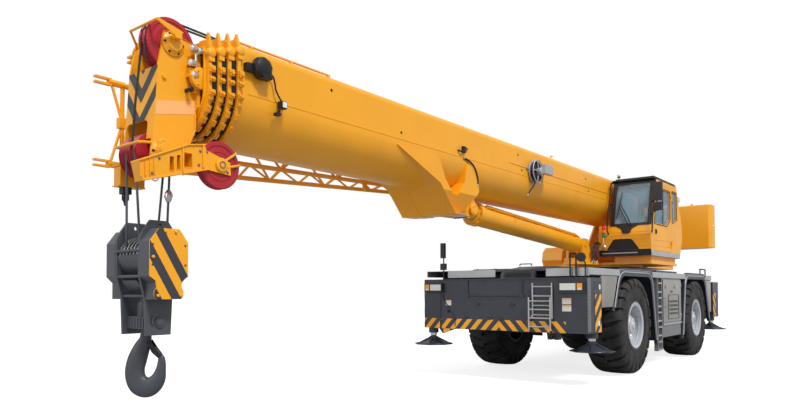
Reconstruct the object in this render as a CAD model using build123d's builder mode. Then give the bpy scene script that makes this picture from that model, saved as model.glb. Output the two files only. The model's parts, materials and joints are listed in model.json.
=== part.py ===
"""Four-wheel rough-terrain crane with a five-part telescopic boom.

Millimetres. X points forward, Y to the vehicle's left, Z up. The origin is on the ground below the
middle of the whole crane, boom included. The boom lies level, the outriggers are drawn in.
"""

import os
from math import atan2, cos, degrees, hypot, pi, radians, sin

from build123d import *

os.makedirs("parts", exist_ok=True)

# ---- shared fits -------------------------------------------------------------------------------
turning_fit = 0.3        # radial gap between round parts that turn or slide in each other
slide_gap = 6.0          # side gap of a beam in its channel
pad_gap = 0.3            # gap at the wear pads that carry a sliding piece

# ---- wheels and axles --------------------------------------------------------------------------
mid_x = -3380.0          # middle of the wheelbase
wheelbase = 4350.0
track = 2490.0
tyre_radius = 910.0
tyre_half_width = 350.0
lug_height = 44.0
lugs_per_side = 20
lug_root = 60.0
tyre_sides = 40
rim_radius = 395.0
rim_half_width = 318.0
rim_flange = 30.0
rim_wall = 26.0
hub_radius = 188.0
spindle_radius = 90.0
kingpin_inset = 295.0    # from the wheel's middle plane to the kingpin
kingpin_radius = 55.0
knuckle_radius = 115.0
knuckle_half_height = 160.0
ear_thickness = 62.0
axle_tube_radius = 140.0
differential_radius = 230.0

# ---- carrier -----------------------------------------------------------------------------------
half_width = 1590.0
frame_half = 430.0
frame_bottom = 1150.0
frame_top = 1775.0
front_face_x = mid_x + 4540.0
rear_face_x = mid_x - 4350.0
box_bottom = 870.0
box_wall = 34.0
beam_width = 230.0
beam_height = 420.0
beam_bottom = 920.0
beam_stroke = 2000.0
jack_box_length = 360.0
jack_inset = 100.0       # from the machine's side to the jack's axis
jack_tube_radius = 92.0
jack_rod_radius = 52.0
jack_stroke = 620.0
float_radius = 340.0
float_bottom = 560.0
deck_top = 1925.0
deck_plate = 30.0
deck_edge = 115.0
deck_front_x = mid_x + 4440.0
deck_rear_x = mid_x - 3560.0
arch_trim = 72.0
cabinet_front_x = mid_x + 550.0
cabinet_rear_x = mid_x - 800.0
cabinet_bottom = 590.0
cabinet_inner_y = 980.0
slew_x = mid_x - 250.0
pedestal_radius = 760.0
slew_ring_radius = 830.0
slew_ring_top = 2070.0
spigot_radius = 700.0
spigot_depth = 70.0
engine_x = (mid_x - 3420.0, mid_x - 1720.0)
engine_half = 300.0
engine_floor = 1250.0
engine_top = 1995.0
hood_x = (mid_x - 3500.0, mid_x - 1640.0)
hood_half = 800.0
hood_top = 2048.0
hood_wall = 18.0

# ---- turntable and cab -------------------------------------------------------------------------
turntable_gap = 8.0
turntable_plate = 90.0
platform_thickness = 45.0
cheek_inner = 484.0
cheek_thickness = 40.0
boom_pivot_x = mid_x - 1950.0
boom_pivot_z = 3420.0
boom_pin_radius = 75.0
cylinder_base_x = mid_x + 1110.0
cylinder_base_z = 2560.0
cylinder_pin_radius = 62.0
cylinder_lug_gap = 132.0
cylinder_lug = 50.0
counterweight_front_x = mid_x - 4140.0
counterweight_rear_x = mid_x - 4750.0
counterweight_half = 1500.0
counterweight_bottom = 2700.0
counterweight_top = 3850.0
cab_bottom = 2290.0
cab_top = 3940.0
cab_outer_y = 1430.0
cab_inner_y = 570.0
cab_foot_y = 330.0
cab_wall = 45.0
cab_glass_thickness = 8.0
door_gap = 6.0

# ---- boom --------------------------------------------------------------------------------------
boom_half = 475.0
boom_top = 4030.0
boom_bottom = 3040.0
boom_corner = 90.0
boom_wall = 14.0
section_step = 26.0      # how much each section is smaller than the one round it, per side
boom_rear_x = mid_x - 2450.0
boom_front_x = mid_x + 10500.0
collar_length = 38.0
collar_pitch = 94.0
collar_rim = 22.0
spike_height = 72.0
section_stroke = 8400.0
head_rear_x = mid_x + 10840.0
head_half = 227.0
head_plate = 24.0
upper_sheave_x = mid_x + 11100.0
upper_sheave_z = 3880.0
upper_sheave_radius = 255.0
lower_sheave_x = mid_x + 11200.0
lower_sheave_z = 2835.0
lower_sheave_radius = 208.0
luff_eye_x = mid_x + 5720.0
luff_eye_z = 2850.0
# side outline of the saddle, x from mid_x and z, and the part of its side that is left open
saddle_outline = [(7990, 3450), (7020, 3080), (6640, 2680), (6300, 2690), (5980, 3080), (6020, 3300), (6200, 3450)]
saddle_hollow = [(7060, 3460), (6900, 3160), (6700, 2960), (6560, 2960), (6390, 3160), (6320, 3460)]
luff_barrel_radius = 178.0
luff_rod_radius = 108.0
luff_range = 78.0        # degrees

# ---- load tackle -------------------------------------------------------------------------------
rope_radius = 11.0
rope_gap = 0.6
block_half = 370.0
block_plate_half = 215.0
block_top = 2215.0
block_bottom = 1160.0
hook_bottom = 572.0


# ---- small makers ------------------------------------------------------------------------------
def block(x, y, z, mode=Mode.ADD):
    """Box between the (low, high) pairs x, y and z, in the part being built."""
    with Locations((sum(x) / 2, sum(y) / 2, sum(z) / 2)):
        Box(x[1] - x[0], y[1] - y[0], z[1] - z[0], mode=mode)


def bar(start, end, radius, mode=Mode.ADD):
    """Round bar from one point to another."""
    run = Vector(*end) - Vector(*start)
    middle = (Vector(*start) + Vector(*end)) * 0.5
    with Locations(Plane(origin=middle, z_dir=run).location):
        Cylinder(radius, run.length, mode=mode)


def tube(start, end, radius, sides=8):
    """Bar of plain trim or lattice, with flat sides, from one point to another."""
    run = Vector(*end) - Vector(*start)
    with BuildSketch(Plane(origin=start, z_dir=run)) as section:
        RegularPolygon(radius, sides)
    extrude(section.sketch, amount=run.length)


def side_plate(points, y, mode=Mode.ADD):
    """Flat plate with the (x, z) outline points, between the (low, high) pair y."""
    with BuildSketch(Plane.XZ.offset(-y[1])) as outline:
        with BuildLine():
            Polyline(*points, close=True)
        make_face()
    extrude(outline.sketch, amount=y[1] - y[0], mode=mode)


def cross_plate(points, x, mode=Mode.ADD):
    """Flat plate with the (y, z) outline points, between the (low, high) pair x."""
    with BuildSketch(Plane.YZ.offset(x[0])) as outline:
        with BuildLine():
            Polyline(*points, close=True)
        make_face()
    extrude(outline.sketch, amount=x[1] - x[0], mode=mode)


def turned(points, centre, outward, mode=Mode.ADD):
    """Solid turned about the Y line through centre, from (radius, offset along outward) points."""
    flip = 1 if outward > 0 else -1
    with BuildSketch(Plane(origin=centre, x_dir=(1, 0, 0), z_dir=(0, 0, 1))) as profile:
        with BuildLine():
            Polyline(*[(r, flip * o) for r, o in points], close=True)
        make_face()
    revolve(profile.sketch, axis=Axis(centre, (0, 1, 0)), mode=mode)


# ---- places worked out from the sizes ----------------------------------------------------------
axles = [("front", 1), ("rear", -1)]                      # name, sign of x from mid_x
sides = [("left", 1), ("right", -1)]                      # name, sign of y
channel = beam_width + 2 * slide_gap
channel_pitch = channel + box_wall
box_depth = 2 * channel + 3 * box_wall
kingpin_y = track / 2 - kingpin_inset
ring_top = slew_ring_top + turntable_gap
plate_top = ring_top + turntable_plate


def wheel_x(end):
    """X of the front (+1) or rear (-1) axle."""
    return mid_x + end * wheelbase / 2


def outer_x(end):
    """X of the front or rear face of the outrigger boxes."""
    return front_face_x if end > 0 else rear_face_x


def channel_x(end, side):
    """X of an outrigger beam: right beams run in the outer channel, left ones in the inner."""
    first = outer_x(end) - end * (box_wall + channel / 2)
    return first if side < 0 else first - end * channel_pitch


def span(a, b):
    """The pair sorted from low to high."""
    return (min(a, b), max(a, b))


# ---- wheels: knuckle, rim and tyre, made once about the wheel's centre with +Y outward ---------
with BuildPart() as knuckle_shape:
    with Locations((0, -kingpin_inset, 0)):
        Cylinder(knuckle_radius, 2 * knuckle_half_height)
        Cylinder(kingpin_radius, 2 * (knuckle_half_height + ear_thickness))
    collar_radius = spindle_radius + 22
    turned([
        (0, -kingpin_inset), (collar_radius, -kingpin_inset),
        (collar_radius, -kingpin_inset + knuckle_radius),
        (spindle_radius, -kingpin_inset + knuckle_radius + 45), (spindle_radius, 228), (0, 228),
    ], (0, 0, 0), 1)

with BuildPart() as rim_shape:
    bore = spindle_radius + turning_fit
    inner = rim_radius - rim_wall
    flange = rim_radius + rim_flange
    turned([
        (bore, -125), (hub_radius, -125), (hub_radius, 60), (inner, 105), (inner, -rim_half_width),
        (flange, -rim_half_width), (flange, -rim_half_width + 18), (rim_radius, -rim_half_width + 28),
        (rim_radius, rim_half_width - 28), (flange, rim_half_width - 18), (flange, rim_half_width),
        (inner + 4, rim_half_width), (inner, 145), (hub_radius, 100), (hub_radius, 205),
        (hub_radius - 40, 250), (0, 250), (0, 232), (bore, 232),
    ], (0, 0, 0), 1)

with BuildPart() as tyre_shape:
    bead = (rim_radius + turning_fit) / cos(pi / tyre_sides)
    tread = tyre_radius - lug_height
    # (radius, offset) rings of the carcass from the outer bead to the inner one
    half_rings = [(bead + 42, rim_half_width + 4), (bead + 235, tyre_half_width), (tread - 60, tyre_half_width - 20),
                  (tread, tyre_half_width - 120)]
    rings = half_rings + [(r, -o) for r, o in reversed(half_rings)]
    for (r0, o0), (r1, o1) in zip(rings, rings[1:]):
        with BuildSketch(Plane.XZ.offset(-o0)) as outer:
            RegularPolygon(r0, tyre_sides, rotation=180 / tyre_sides)
        with BuildSketch(Plane.XZ.offset(-o1)) as inner:
            RegularPolygon(r1, tyre_sides, rotation=180 / tyre_sides)
        loft([outer.sketch, inner.sketch])
    with BuildSketch(Plane.XZ.offset(-tyre_half_width)) as hole:
        RegularPolygon(bead, tyre_sides, rotation=180 / tyre_sides)
    extrude(hole.sketch, amount=2 * tyre_half_width, mode=Mode.SUBTRACT)
    for y in (tyre_half_width, -rim_half_width + 30):
        with BuildSketch(Plane.XZ.offset(-y)) as lip:
            RegularPolygon((rim_radius + rim_flange + 3) / cos(pi / tyre_sides), tyre_sides, rotation=180 / tyre_sides)
        extrude(lip.sketch, amount=tyre_half_width - rim_half_width + 30, mode=Mode.SUBTRACT)
    lug_pitch = 360 / lugs_per_side
    for row in (1, -1):
        for number in range(lugs_per_side):
            angle = lug_pitch * (number if row > 0 else number + 0.5)
            away = (cos(radians(angle)), 0, sin(radians(angle)))
            with BuildSketch(Plane(origin=(0, 0, 0), x_dir=(0, row, 0), z_dir=away).offset(tread - lug_root)) as lug:
                with BuildLine():
                    Polyline((14, -88), (tyre_half_width - 16, -52), (tyre_half_width - 16, 108),
                             (14, 72), close=True)
                make_face()
            extrude(lug.sketch, amount=lug_root + lug_height)
    Cylinder(tyre_radius, 2 * tyre_half_width, rotation=(90, 0, 0), mode=Mode.INTERSECT)

for axle_name, end in axles:
    for side_name, side in sides:
        corner = f"{axle_name}_{side_name}"
        turn = 0 if side > 0 else 180
        place = Location((wheel_x(end), side * track / 2, tyre_radius), (0, 0, turn))
        with BuildPart() as knuckle:
            with Locations(place):
                add(knuckle_shape.part)
        knuckle.part.label = f"knuckle_{corner}"
        export_step(knuckle.part, f"parts/knuckle_{corner}.step")
        with BuildPart() as rim:
            with Locations(place):
                add(rim_shape.part)
        rim.part.label = f"rim_{corner}"
        export_step(rim.part, f"parts/rim_{corner}.step")
        with BuildPart() as tyre:
            with Locations(place):
                add(tyre_shape.part)
        tyre.part.label = f"tyre_{corner}"
        export_step(tyre.part, f"parts/tyre_{corner}.step")

# ---- axles with yokes for the kingpins ---------------------------------------------------------
for axle_name, end in axles:
    with BuildPart() as axle:
        centre = (wheel_x(end), 0, tyre_radius)
        yoke_y = kingpin_y - knuckle_radius - 30
        housing = [
            (0, -yoke_y), (axle_tube_radius, -yoke_y), (axle_tube_radius, -330), (differential_radius, -130),
            (differential_radius, 130), (axle_tube_radius, 330), (axle_tube_radius, yoke_y), (0, yoke_y),
        ]
        turned(housing, centre, 1)
        ear_low = knuckle_half_height + 6
        ear_high = knuckle_half_height + ear_thickness
        for side_name, side in sides:
            pin = (wheel_x(end), side * kingpin_y)
            block((pin[0] - 105, pin[0] + 105), span(side * (yoke_y - 140), side * yoke_y),
                  (tyre_radius - ear_high, tyre_radius + ear_high))
            for up in (1, -1):
                ear = span(tyre_radius + up * ear_low, tyre_radius + up * ear_high)
                block((pin[0] - 105, pin[0] + 105), span(side * (yoke_y - 140), side * kingpin_y), ear)
                with Locations((*pin, sum(ear) / 2)):
                    Cylinder(105, ear[1] - ear[0])
                    Cylinder(kingpin_radius + turning_fit, ear[1] - ear[0], mode=Mode.SUBTRACT)
            saddle = [(centre[0] - 170, frame_bottom), (centre[0] - 120, tyre_radius),
                      (centre[0] + 120, tyre_radius), (centre[0] + 170, frame_bottom)]
            side_plate(saddle, span(side * 340, side * (frame_half - 10)))
    axle.part.label = f"{axle_name}_axle"
    export_step(axle.part, f"parts/{axle_name}_axle.step")

# ---- carrier frame: main box, outrigger boxes and slew pedestal --------------------------------
with BuildPart() as carrier_frame:
    block((rear_face_x + box_depth, front_face_x - box_depth), (-frame_half, frame_half),
          (frame_bottom, frame_top))
    for axle_name, end in axles:
        face = outer_x(end)
        block(span(face, face - end * box_depth), (-half_width, half_width), (box_bottom, frame_top))
        apron = [(-900, box_bottom), (-1180, box_bottom - 90), (-1260, box_bottom)]
        cross_plate(apron, span(face, face - end * 40))
        for side_name, side in sides:
            middle = channel_x(end, side)
            notch_inner = half_width - jack_box_length - slide_gap
            if side > 0:
                notch_x = span(face - end * (box_depth + 1), middle + end * (channel / 2 + 10))
            else:
                notch_x = span(face + end, middle - end * (channel / 2 + 10))
            block(notch_x, span(side * notch_inner, side * (half_width + 1)),
                  (box_bottom - 1, frame_top + 1), mode=Mode.SUBTRACT)
            block((middle - channel / 2, middle + channel / 2),
                  span(-side * (notch_inner - 20), side * (notch_inner + 1)),
                  (beam_bottom - pad_gap, beam_bottom + beam_height + slide_gap), mode=Mode.SUBTRACT)
    with Locations((slew_x, 0, (frame_top + deck_top) / 2)):
        Cylinder(pedestal_radius, deck_top - frame_top)
    with Locations((slew_x, 0, (deck_top + slew_ring_top) / 2)):
        Cylinder(slew_ring_radius, slew_ring_top - deck_top)
    with Locations((slew_x, 0, slew_ring_top - spigot_depth / 2)):
        Cylinder(spigot_radius + turning_fit, spigot_depth, mode=Mode.SUBTRACT)
    block(engine_x, (-engine_half - 40, engine_half + 40), (engine_floor, frame_top + 1), mode=Mode.SUBTRACT)
    for y in ((-1550, -1150), (1130, 1560)):
        block((front_face_x, front_face_x + 60), y, (1540, 1705))
    for y in ((-1550, -1150), (1150, 1550)):
        block((rear_face_x - 60, rear_face_x), y, (1540, 1705))
    hitch = [(front_face_x - 200, box_bottom), (front_face_x - 200, box_bottom - 120),
             (front_face_x - 60, box_bottom - 120), (front_face_x - 20, box_bottom)]
    side_plate(hitch, (880, 940))
    side_plate(hitch, (1000, 1060))
carrier_frame.part.label = "carrier_frame"
export_step(carrier_frame.part, "parts/carrier_frame.step")

# ---- outriggers: beam with its jack box, and jack rod with its float ---------------------------
for axle_name, end in axles:
    for side_name, side in sides:
        corner = f"{axle_name}_{side_name}"
        middle = channel_x(end, side)
        jack = (middle, side * (half_width - jack_inset))
        box_inner = half_width - jack_box_length
        outward = end if side < 0 else -end
        tube_low = box_bottom - 95

        with BuildPart() as outrigger_beam:
            block((middle - beam_width / 2, middle + beam_width / 2),
                  span(-side * (box_inner - 60), side * box_inner), (beam_bottom, beam_bottom + beam_height))
            block(span(middle + outward * (beam_width / 2 + slide_gap + box_wall),
                       middle - outward * (beam_width / 2 + 5)),
                  span(side * box_inner, side * half_width), (box_bottom + 2, frame_top))
            with Locations((*jack, (tube_low + box_bottom + 10) / 2)):
                Cylinder(jack_tube_radius, box_bottom + 10 - tube_low)
            with Locations((*jack, tube_low - 1)):
                Cylinder(jack_rod_radius + turning_fit, frame_top - tube_low - 60,
                         align=(Align.CENTER, Align.CENTER, Align.MIN), mode=Mode.SUBTRACT)
        outrigger_beam.part.label = f"outrigger_beam_{corner}"
        export_step(outrigger_beam.part, f"parts/outrigger_beam_{corner}.step")

        with BuildPart() as jack_leg:
            rod_low = float_bottom + 95
            with Locations((*jack, rod_low)):
                Cylinder(jack_rod_radius, frame_top - 80 - rod_low,
                         align=(Align.CENTER, Align.CENTER, Align.MIN))
            with Locations((*jack, rod_low)):
                Cylinder(jack_rod_radius + 26, 55, align=(Align.CENTER, Align.CENTER, Align.MIN))
            with BuildSketch(Plane.XY.offset(float_bottom)):
                with Locations(jack):
                    RegularPolygon(float_radius, 8, rotation=22.5, major_radius=False)
            extrude(amount=16)
            with BuildSketch(Plane.XY.offset(float_bottom + 16)) as dish:
                with Locations(jack):
                    RegularPolygon(float_radius - 40, 8, rotation=22.5, major_radius=False)
            with BuildSketch(Plane.XY.offset(rod_low + 1)) as crown:
                with Locations(jack):
                    RegularPolygon(90, 8, rotation=22.5, major_radius=False)
            loft([dish.sketch, crown.sketch])
        jack_leg.part.label = f"jack_leg_{corner}"
        export_step(jack_leg.part, f"parts/jack_leg_{corner}.step")

# ---- deck with fender arches -------------------------------------------------------------------
# corner points of each arch opening, x from mid_x and z, then the corner radius
arches = [
    ([(3330, 1270), (3060, 1895), (1245, 1895), (975, 570)], 260),
    ([(-960, 570), (-1205, 1895), (-2980, 1895), (-3370, 860)], 260),
]
with BuildPart() as deck:
    block((deck_rear_x, deck_front_x), (-half_width, half_width), (deck_top - deck_plate, deck_top))
    for side_name, side in sides:
        strip = span(side * (half_width - 45), side * half_width)
        for run in ((mid_x + 3320, deck_front_x), (mid_x - 1000, mid_x + 1010), (deck_rear_x, mid_x - 3300)):
            block(run, strip, (deck_top - deck_edge, deck_top))
        for points, radius in arches:
            corners = [(mid_x + x, z) for x, z in points]
            with BuildSketch(Plane.XZ.offset(-(half_width if side > 0 else -half_width + 60))) as trim:
                with BuildLine():
                    FilletPolyline(*corners, radius=radius)
                    Line(corners[-1], corners[0])
                make_face()
                opening = trim.sketch.face()
                offset(amount=arch_trim, kind=Kind.INTERSECTION)
                add(opening, mode=Mode.SUBTRACT)
                with BuildLine():
                    Polyline(corners[0], (corners[0][0], 0), (corners[-1][0], 0), corners[-1], close=True)
                make_face(mode=Mode.SUBTRACT)
            extrude(trim.sketch, amount=60)
            sheet_depth = half_width - 900
            with BuildSketch(Plane.XZ.offset(-(half_width if side > 0 else -900))) as sheet:
                with BuildLine():
                    FilletPolyline(*corners, radius=radius)
                    Line(corners[-1], corners[0])
                make_face()
                opening = sheet.sketch.face()
                offset(amount=16, kind=Kind.INTERSECTION)
                add(opening, mode=Mode.SUBTRACT)
                with BuildLine():
                    Polyline(corners[0], (corners[0][0], 0), (corners[-1][0], 0), corners[-1], close=True)
                make_face(mode=Mode.SUBTRACT)
            extrude(sheet.sketch, amount=sheet_depth)
    block((deck_front_x - 20, deck_front_x), (-1118, -118), (deck_top - deck_edge, deck_top))
    block((deck_front_x - 20, deck_front_x), (844, half_width), (deck_top - deck_edge, deck_top))
    # the right front corner is open above the outrigger box, and a locker stands behind it
    block((mid_x + 3900, deck_front_x + 1), (-half_width - 1, -1118), (frame_top + 1, deck_top + 1), mode=Mode.SUBTRACT)
    cross_plate([(-1500, deck_top - 5), (-1430, deck_top + 75), (-480, deck_top + 75), (-420, deck_top - 5)],
                (mid_x + 2500, mid_x + 3040))
    for x in (3300, 900, -900, -3300):
        block((mid_x + x - 15, mid_x + x + 15), (-half_width + 45, half_width - 45),
              (frame_top, deck_top - deck_plate))
    with Locations((slew_x, 0, deck_top)):
        Cylinder(pedestal_radius + pad_gap, 400, mode=Mode.SUBTRACT)
    block(engine_x, (-engine_half - 40, engine_half + 40), (frame_top - 1, deck_top + 1), mode=Mode.SUBTRACT)
deck.part.label = "deck"
export_step(deck.part, "parts/deck.step")

# ---- side cabinets on one cross beam under the frame -------------------------------------------
with BuildPart() as side_cabinets:
    step_z = cabinet_bottom + 240
    for side_name, side in sides:
        skin = side * half_width
        block((cabinet_rear_x, cabinet_front_x), span(side * cabinet_inner_y, skin - side * 14),
              (cabinet_bottom, deck_top - deck_edge))
        block((cabinet_rear_x + 20, cabinet_front_x - 20), span(skin - side * 14, skin),
              (step_z, deck_top - deck_edge - 20))
    block((slew_x - 160, slew_x + 160), (-cabinet_inner_y, cabinet_inner_y), (frame_bottom - 120, frame_bottom))
side_cabinets.part.label = "side_cabinets"
export_step(side_cabinets.part, "parts/side_cabinets.step")

# ---- engine in its bay, and its hood on the deck -----------------------------------------------
with BuildPart() as engine_block:
    block((engine_x[0] + 60, engine_x[1] - 60), (-engine_half, engine_half), (engine_floor, engine_top))
engine_block.part.label = "engine_block"
export_step(engine_block.part, "parts/engine_block.step")

with BuildPart() as engine_hood:
    slope = hood_top - deck_top
    side_plate([(hood_x[0], deck_top), (hood_x[0] + slope / 2, hood_top), (hood_x[1] - slope / 2, hood_top),
                (hood_x[1], deck_top)], (-hood_half, hood_half))
    side_plate([(hood_x[0] + hood_wall, deck_top), (hood_x[0] + hood_wall + slope / 2, hood_top - hood_wall),
                (hood_x[1] - hood_wall - slope / 2, hood_top - hood_wall), (hood_x[1] - hood_wall, deck_top)],
               (-hood_half + hood_wall, hood_half - hood_wall), mode=Mode.SUBTRACT)
engine_hood.part.label = "engine_hood"
export_step(engine_hood.part, "parts/engine_hood.step")

# ---- hump over the front winch bay -------------------------------------------------------------
with BuildPart() as front_hood:
    side_plate([(mid_x + 3060, deck_top), (mid_x + 3140, deck_top + 60), (mid_x + 4160, deck_top + 60),
                (deck_front_x - 10, deck_top)], (60, 830))
    cross_plate([(59, deck_top - 1), (59, deck_top + 61), (230, deck_top + 61)], (mid_x + 3000, deck_front_x),
                mode=Mode.SUBTRACT)
    # rounded cover before it, on the outrigger box
    side_plate([(deck_front_x, frame_top), (deck_front_x, 1905), (deck_front_x + 20, 1905),
                (deck_front_x + 70, 1860), (deck_front_x + 88, frame_top)], (28, 665))
front_hood.part.label = "front_hood"
export_step(front_hood.part, "parts/front_hood.step")

# ---- ladders -----------------------------------------------------------------------------------
rung_pitch = 295.0
with BuildPart() as ladders:
    for side_name, side in sides:
        across = span(side * (half_width - 85), side * half_width)
        for x in (mid_x + 595, mid_x + 865):
            block((x - 8, x + 8), across, (330, deck_top - deck_edge))
        for number in range(5):
            low = 335 + number * rung_pitch
            block((mid_x + 595, mid_x + 865), across, (low, low + 30))
    # the front ladder's two folding parts: (low y, high y, low z, high z, distance from the face)
    for y0, y1, z0, z1, off in ((600, 985, 905, 1450, 62), (655, 1000, 1100, 1690, 28)):
        for y in (y0, y1):
            tube((front_face_x + off, y, z0), (front_face_x + off, y, z1), 14)
        for number in range(4):
            z = z0 + 60 + number * (z1 - z0 - 120) / 3
            tube((front_face_x + off, y0, z), (front_face_x + off, y1, z), 12)
    for y in (655, 985):
        block((front_face_x, front_face_x + 62), (y - 12, y + 12), (1380, 1400))
        block((front_face_x, front_face_x + 62), (y - 12, y + 12), (1130, 1150))
ladders.part.label = "ladders"
export_step(ladders.part, "parts/ladders.step")

# ---- handrails and mirrors on the carrier ------------------------------------------------------
with BuildPart() as carrier_rails:
    rail = 15
    ledge_x = front_face_x - 45
    # front left loop rail and round mirror
    loop = [(ledge_x, 1290, frame_top), (ledge_x, 1290, 2150), (ledge_x, 1390, 2170), (ledge_x, 1390, frame_top)]
    for start, finish in zip(loop, loop[1:]):
        tube(start, finish, rail)
    tube((ledge_x, 1545, frame_top), (ledge_x, 1545, 2010), 12)
    tube((ledge_x, 1545, 2010), (ledge_x, 1480, 2090), 12)
    tube((ledge_x - 16, 1480, 2100), (ledge_x + 22, 1480, 2100), 78)
    # front right mirror stalk with a low and a tall mirror
    tube((ledge_x, -1180, frame_top), (ledge_x, -1180, 2420), 12)
    block((ledge_x - 28, ledge_x + 28), (-1240, -1130), (1950, 2070))
    block((ledge_x - 30, ledge_x + 30), (-1235, -1150), (2170, 2450))
    for side_name, side in sides:
        y = side * (half_width - 80)
        loop = [(mid_x - 2840, y, deck_top), (mid_x - 2840, y, 2085), (mid_x - 3350, y, 2085),
                (mid_x - 3350, y, deck_top)]
        for start, finish in zip(loop, loop[1:]):
            tube(start, finish, rail)
carrier_rails.part.label = "carrier_rails"
export_step(carrier_rails.part, "parts/carrier_rails.step")

# ---- turntable frame ---------------------------------------------------------------------------
tail_x = counterweight_front_x
with BuildPart() as turntable_frame:
    with Locations((slew_x, 0, (ring_top + plate_top) / 2)):
        Cylinder(900, turntable_plate)
    with Locations((slew_x, 0, (ring_top + slew_ring_top - spigot_depth + 10) / 2)):
        Cylinder(spigot_radius, ring_top - slew_ring_top + spigot_depth - 10)
    with BuildSketch(Plane.XY.offset(plate_top - platform_thickness)):
        with BuildLine():
            Polyline((mid_x + 1330, -235), (mid_x + 1330, 235), (mid_x + 640, 330), (mid_x + 560, 1380),
                     (mid_x - 1300, 1380), (mid_x - 1500, 560), (tail_x, 524), (tail_x, -524),
                     (mid_x - 1600, -560), (mid_x - 1600, -1475), (mid_x - 260, -1475), (mid_x - 180, -330),
                     close=True)
        make_face()
    extrude(amount=platform_thickness)
    # cheeks that carry the boom pin, run back to the counterweight
    cheek = [(-640, plate_top), (-760, 2700), (-1560, 3640), (-2150, 3640), (-2500, 3300), (-2620, 2830),
             (-3900, 2830), (-4140, 3150), (-4140, plate_top)]
    for side_name, side in sides:
        side_plate([(mid_x + x, z) for x, z in cheek],
                   span(side * cheek_inner, side * (cheek_inner + cheek_thickness)))
        with Locations(Location((boom_pivot_x, side * (cheek_inner + cheek_thickness + 15), boom_pivot_z),
                                (90, 0, 0))):
            Cylinder(170, 30)
    bar((boom_pivot_x, -cheek_inner - 60, boom_pivot_z), (boom_pivot_x, cheek_inner + 60, boom_pivot_z),
        boom_pin_radius)
    # nose with the lugs and pin for the luff cylinder's foot
    block((mid_x - 700, mid_x + 1300), (-225, 225), (plate_top, plate_top + 90))
    lug = [(cylinder_base_x - 330, plate_top + 90), (cylinder_base_x - 150, cylinder_base_z + 110),
           (cylinder_base_x + 60, cylinder_base_z + 120), (cylinder_base_x + 140, cylinder_base_z),
           (cylinder_base_x + 180, plate_top + 90)]
    for side_name, side in sides:
        side_plate(lug, span(side * cylinder_lug_gap, side * (cylinder_lug_gap + cylinder_lug)))
    pin_half = cylinder_lug_gap + cylinder_lug + 14
    bar((cylinder_base_x, -pin_half, cylinder_base_z), (cylinder_base_x, pin_half, cylinder_base_z),
        cylinder_pin_radius)
    # box for valves on the right, with sloped ends
    side_plate([(mid_x - 1560, plate_top), (mid_x - 1560, 2500), (mid_x - 1440, 2620), (mid_x - 420, 2620),
                (mid_x - 270, 2500), (mid_x - 220, 2300), (mid_x - 300, plate_top)], (-1470, -960))
turntable_frame.part.label = "turntable_frame"
export_step(turntable_frame.part, "parts/turntable_frame.step")

# ---- counterweight -----------------------------------------------------------------------------
with BuildPart() as counterweight:
    rear = counterweight_rear_x
    with BuildSketch(Plane.XY.offset(counterweight_bottom)):
        with BuildLine():
            Polyline((tail_x, counterweight_half - 70), (tail_x - 70, counterweight_half),
                     (rear + 210, counterweight_half), (rear, counterweight_half - 330),
                     (rear, -counterweight_half + 330), (rear + 210, -counterweight_half),
                     (tail_x - 70, -counterweight_half), (tail_x, -counterweight_half + 70), close=True)
        make_face()
    extrude(amount=counterweight_top - counterweight_bottom)
    chamfer(counterweight.edges().group_by(Axis.Z)[-1], 18)
    for side_name, side in sides:
        eye_y = side * 950
        side_plate([(tail_x - 400, counterweight_top - 5), (tail_x - 360, counterweight_top + 75),
                    (tail_x - 260, counterweight_top + 75), (tail_x - 220, counterweight_top - 5)],
                   (eye_y - 20, eye_y + 20))
        bar((tail_x - 310, eye_y - 30, counterweight_top + 38), (tail_x - 310, eye_y + 30, counterweight_top + 38),
            22, mode=Mode.SUBTRACT)
counterweight.part.label = "counterweight"
export_step(counterweight.part, "parts/counterweight.step")

# ---- main and auxiliary winch ------------------------------------------------------------------
drum_radius = 230.0
winches_at = [(mid_x - 2960, 2560), (mid_x - 3660, 2560)]
with BuildPart() as winches:
    for x, z in winches_at:
        bar((x, -400, z), (x, 400, z), drum_radius)
        for side_name, side in sides:
            bar((x, side * 395, z), (x, side * 430, z), drum_radius + 85)
            bar((x, side * 430, z), (x, side * cheek_inner, z), 120)
winches.part.label = "winches"
export_step(winches.part, "parts/winches.step")

# ---- cab ---------------------------------------------------------------------------------------
# side outline, x from mid_x and z: foot, chin, brow, roof rear, shoulder, back, heel
cab_outline = [(720, cab_bottom), (755, 2750), (425, cab_top), (-1150, cab_top), (-1290, 3620),
               (-1560, 3100), (-1600, 2760), (-1360, cab_bottom)]
foot_top = 2960.0
foot_rear = -600.0
door_rear = -700.0
door_outline = [(600, 2400), (632, 2750), (352, 3830), (door_rear, 3830), (door_rear, 2400)]
door_window = [(505, 2985), (308, 3745), (-610, 3745), (-610, 3120), (-380, 2985)]


def cab_volume(inset):
    """The cab's outer form, drawn in by inset on every side."""
    with BuildPart() as volume:
        with BuildSketch(Plane.XZ.offset(-(cab_outer_y - inset))):
            with BuildLine():
                Polyline(*[(mid_x + x, z) for x, z in cab_outline], close=True)
            make_face()
            if inset:
                offset(amount=-inset, kind=Kind.INTERSECTION)
        extrude(amount=cab_outer_y - cab_foot_y - 2 * inset)
        # beside the boom the cab is narrower than at the driver's feet
        block((mid_x - 1700, mid_x + 900), (cab_foot_y - 1, cab_inner_y + inset),
              (foot_top - inset, cab_top + 1), mode=Mode.SUBTRACT)
        block((mid_x - 1700, mid_x + foot_rear + inset), (cab_foot_y - 1, cab_inner_y + inset),
              (cab_bottom - 1, cab_top + 1), mode=Mode.SUBTRACT)
    return volume.part


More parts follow.
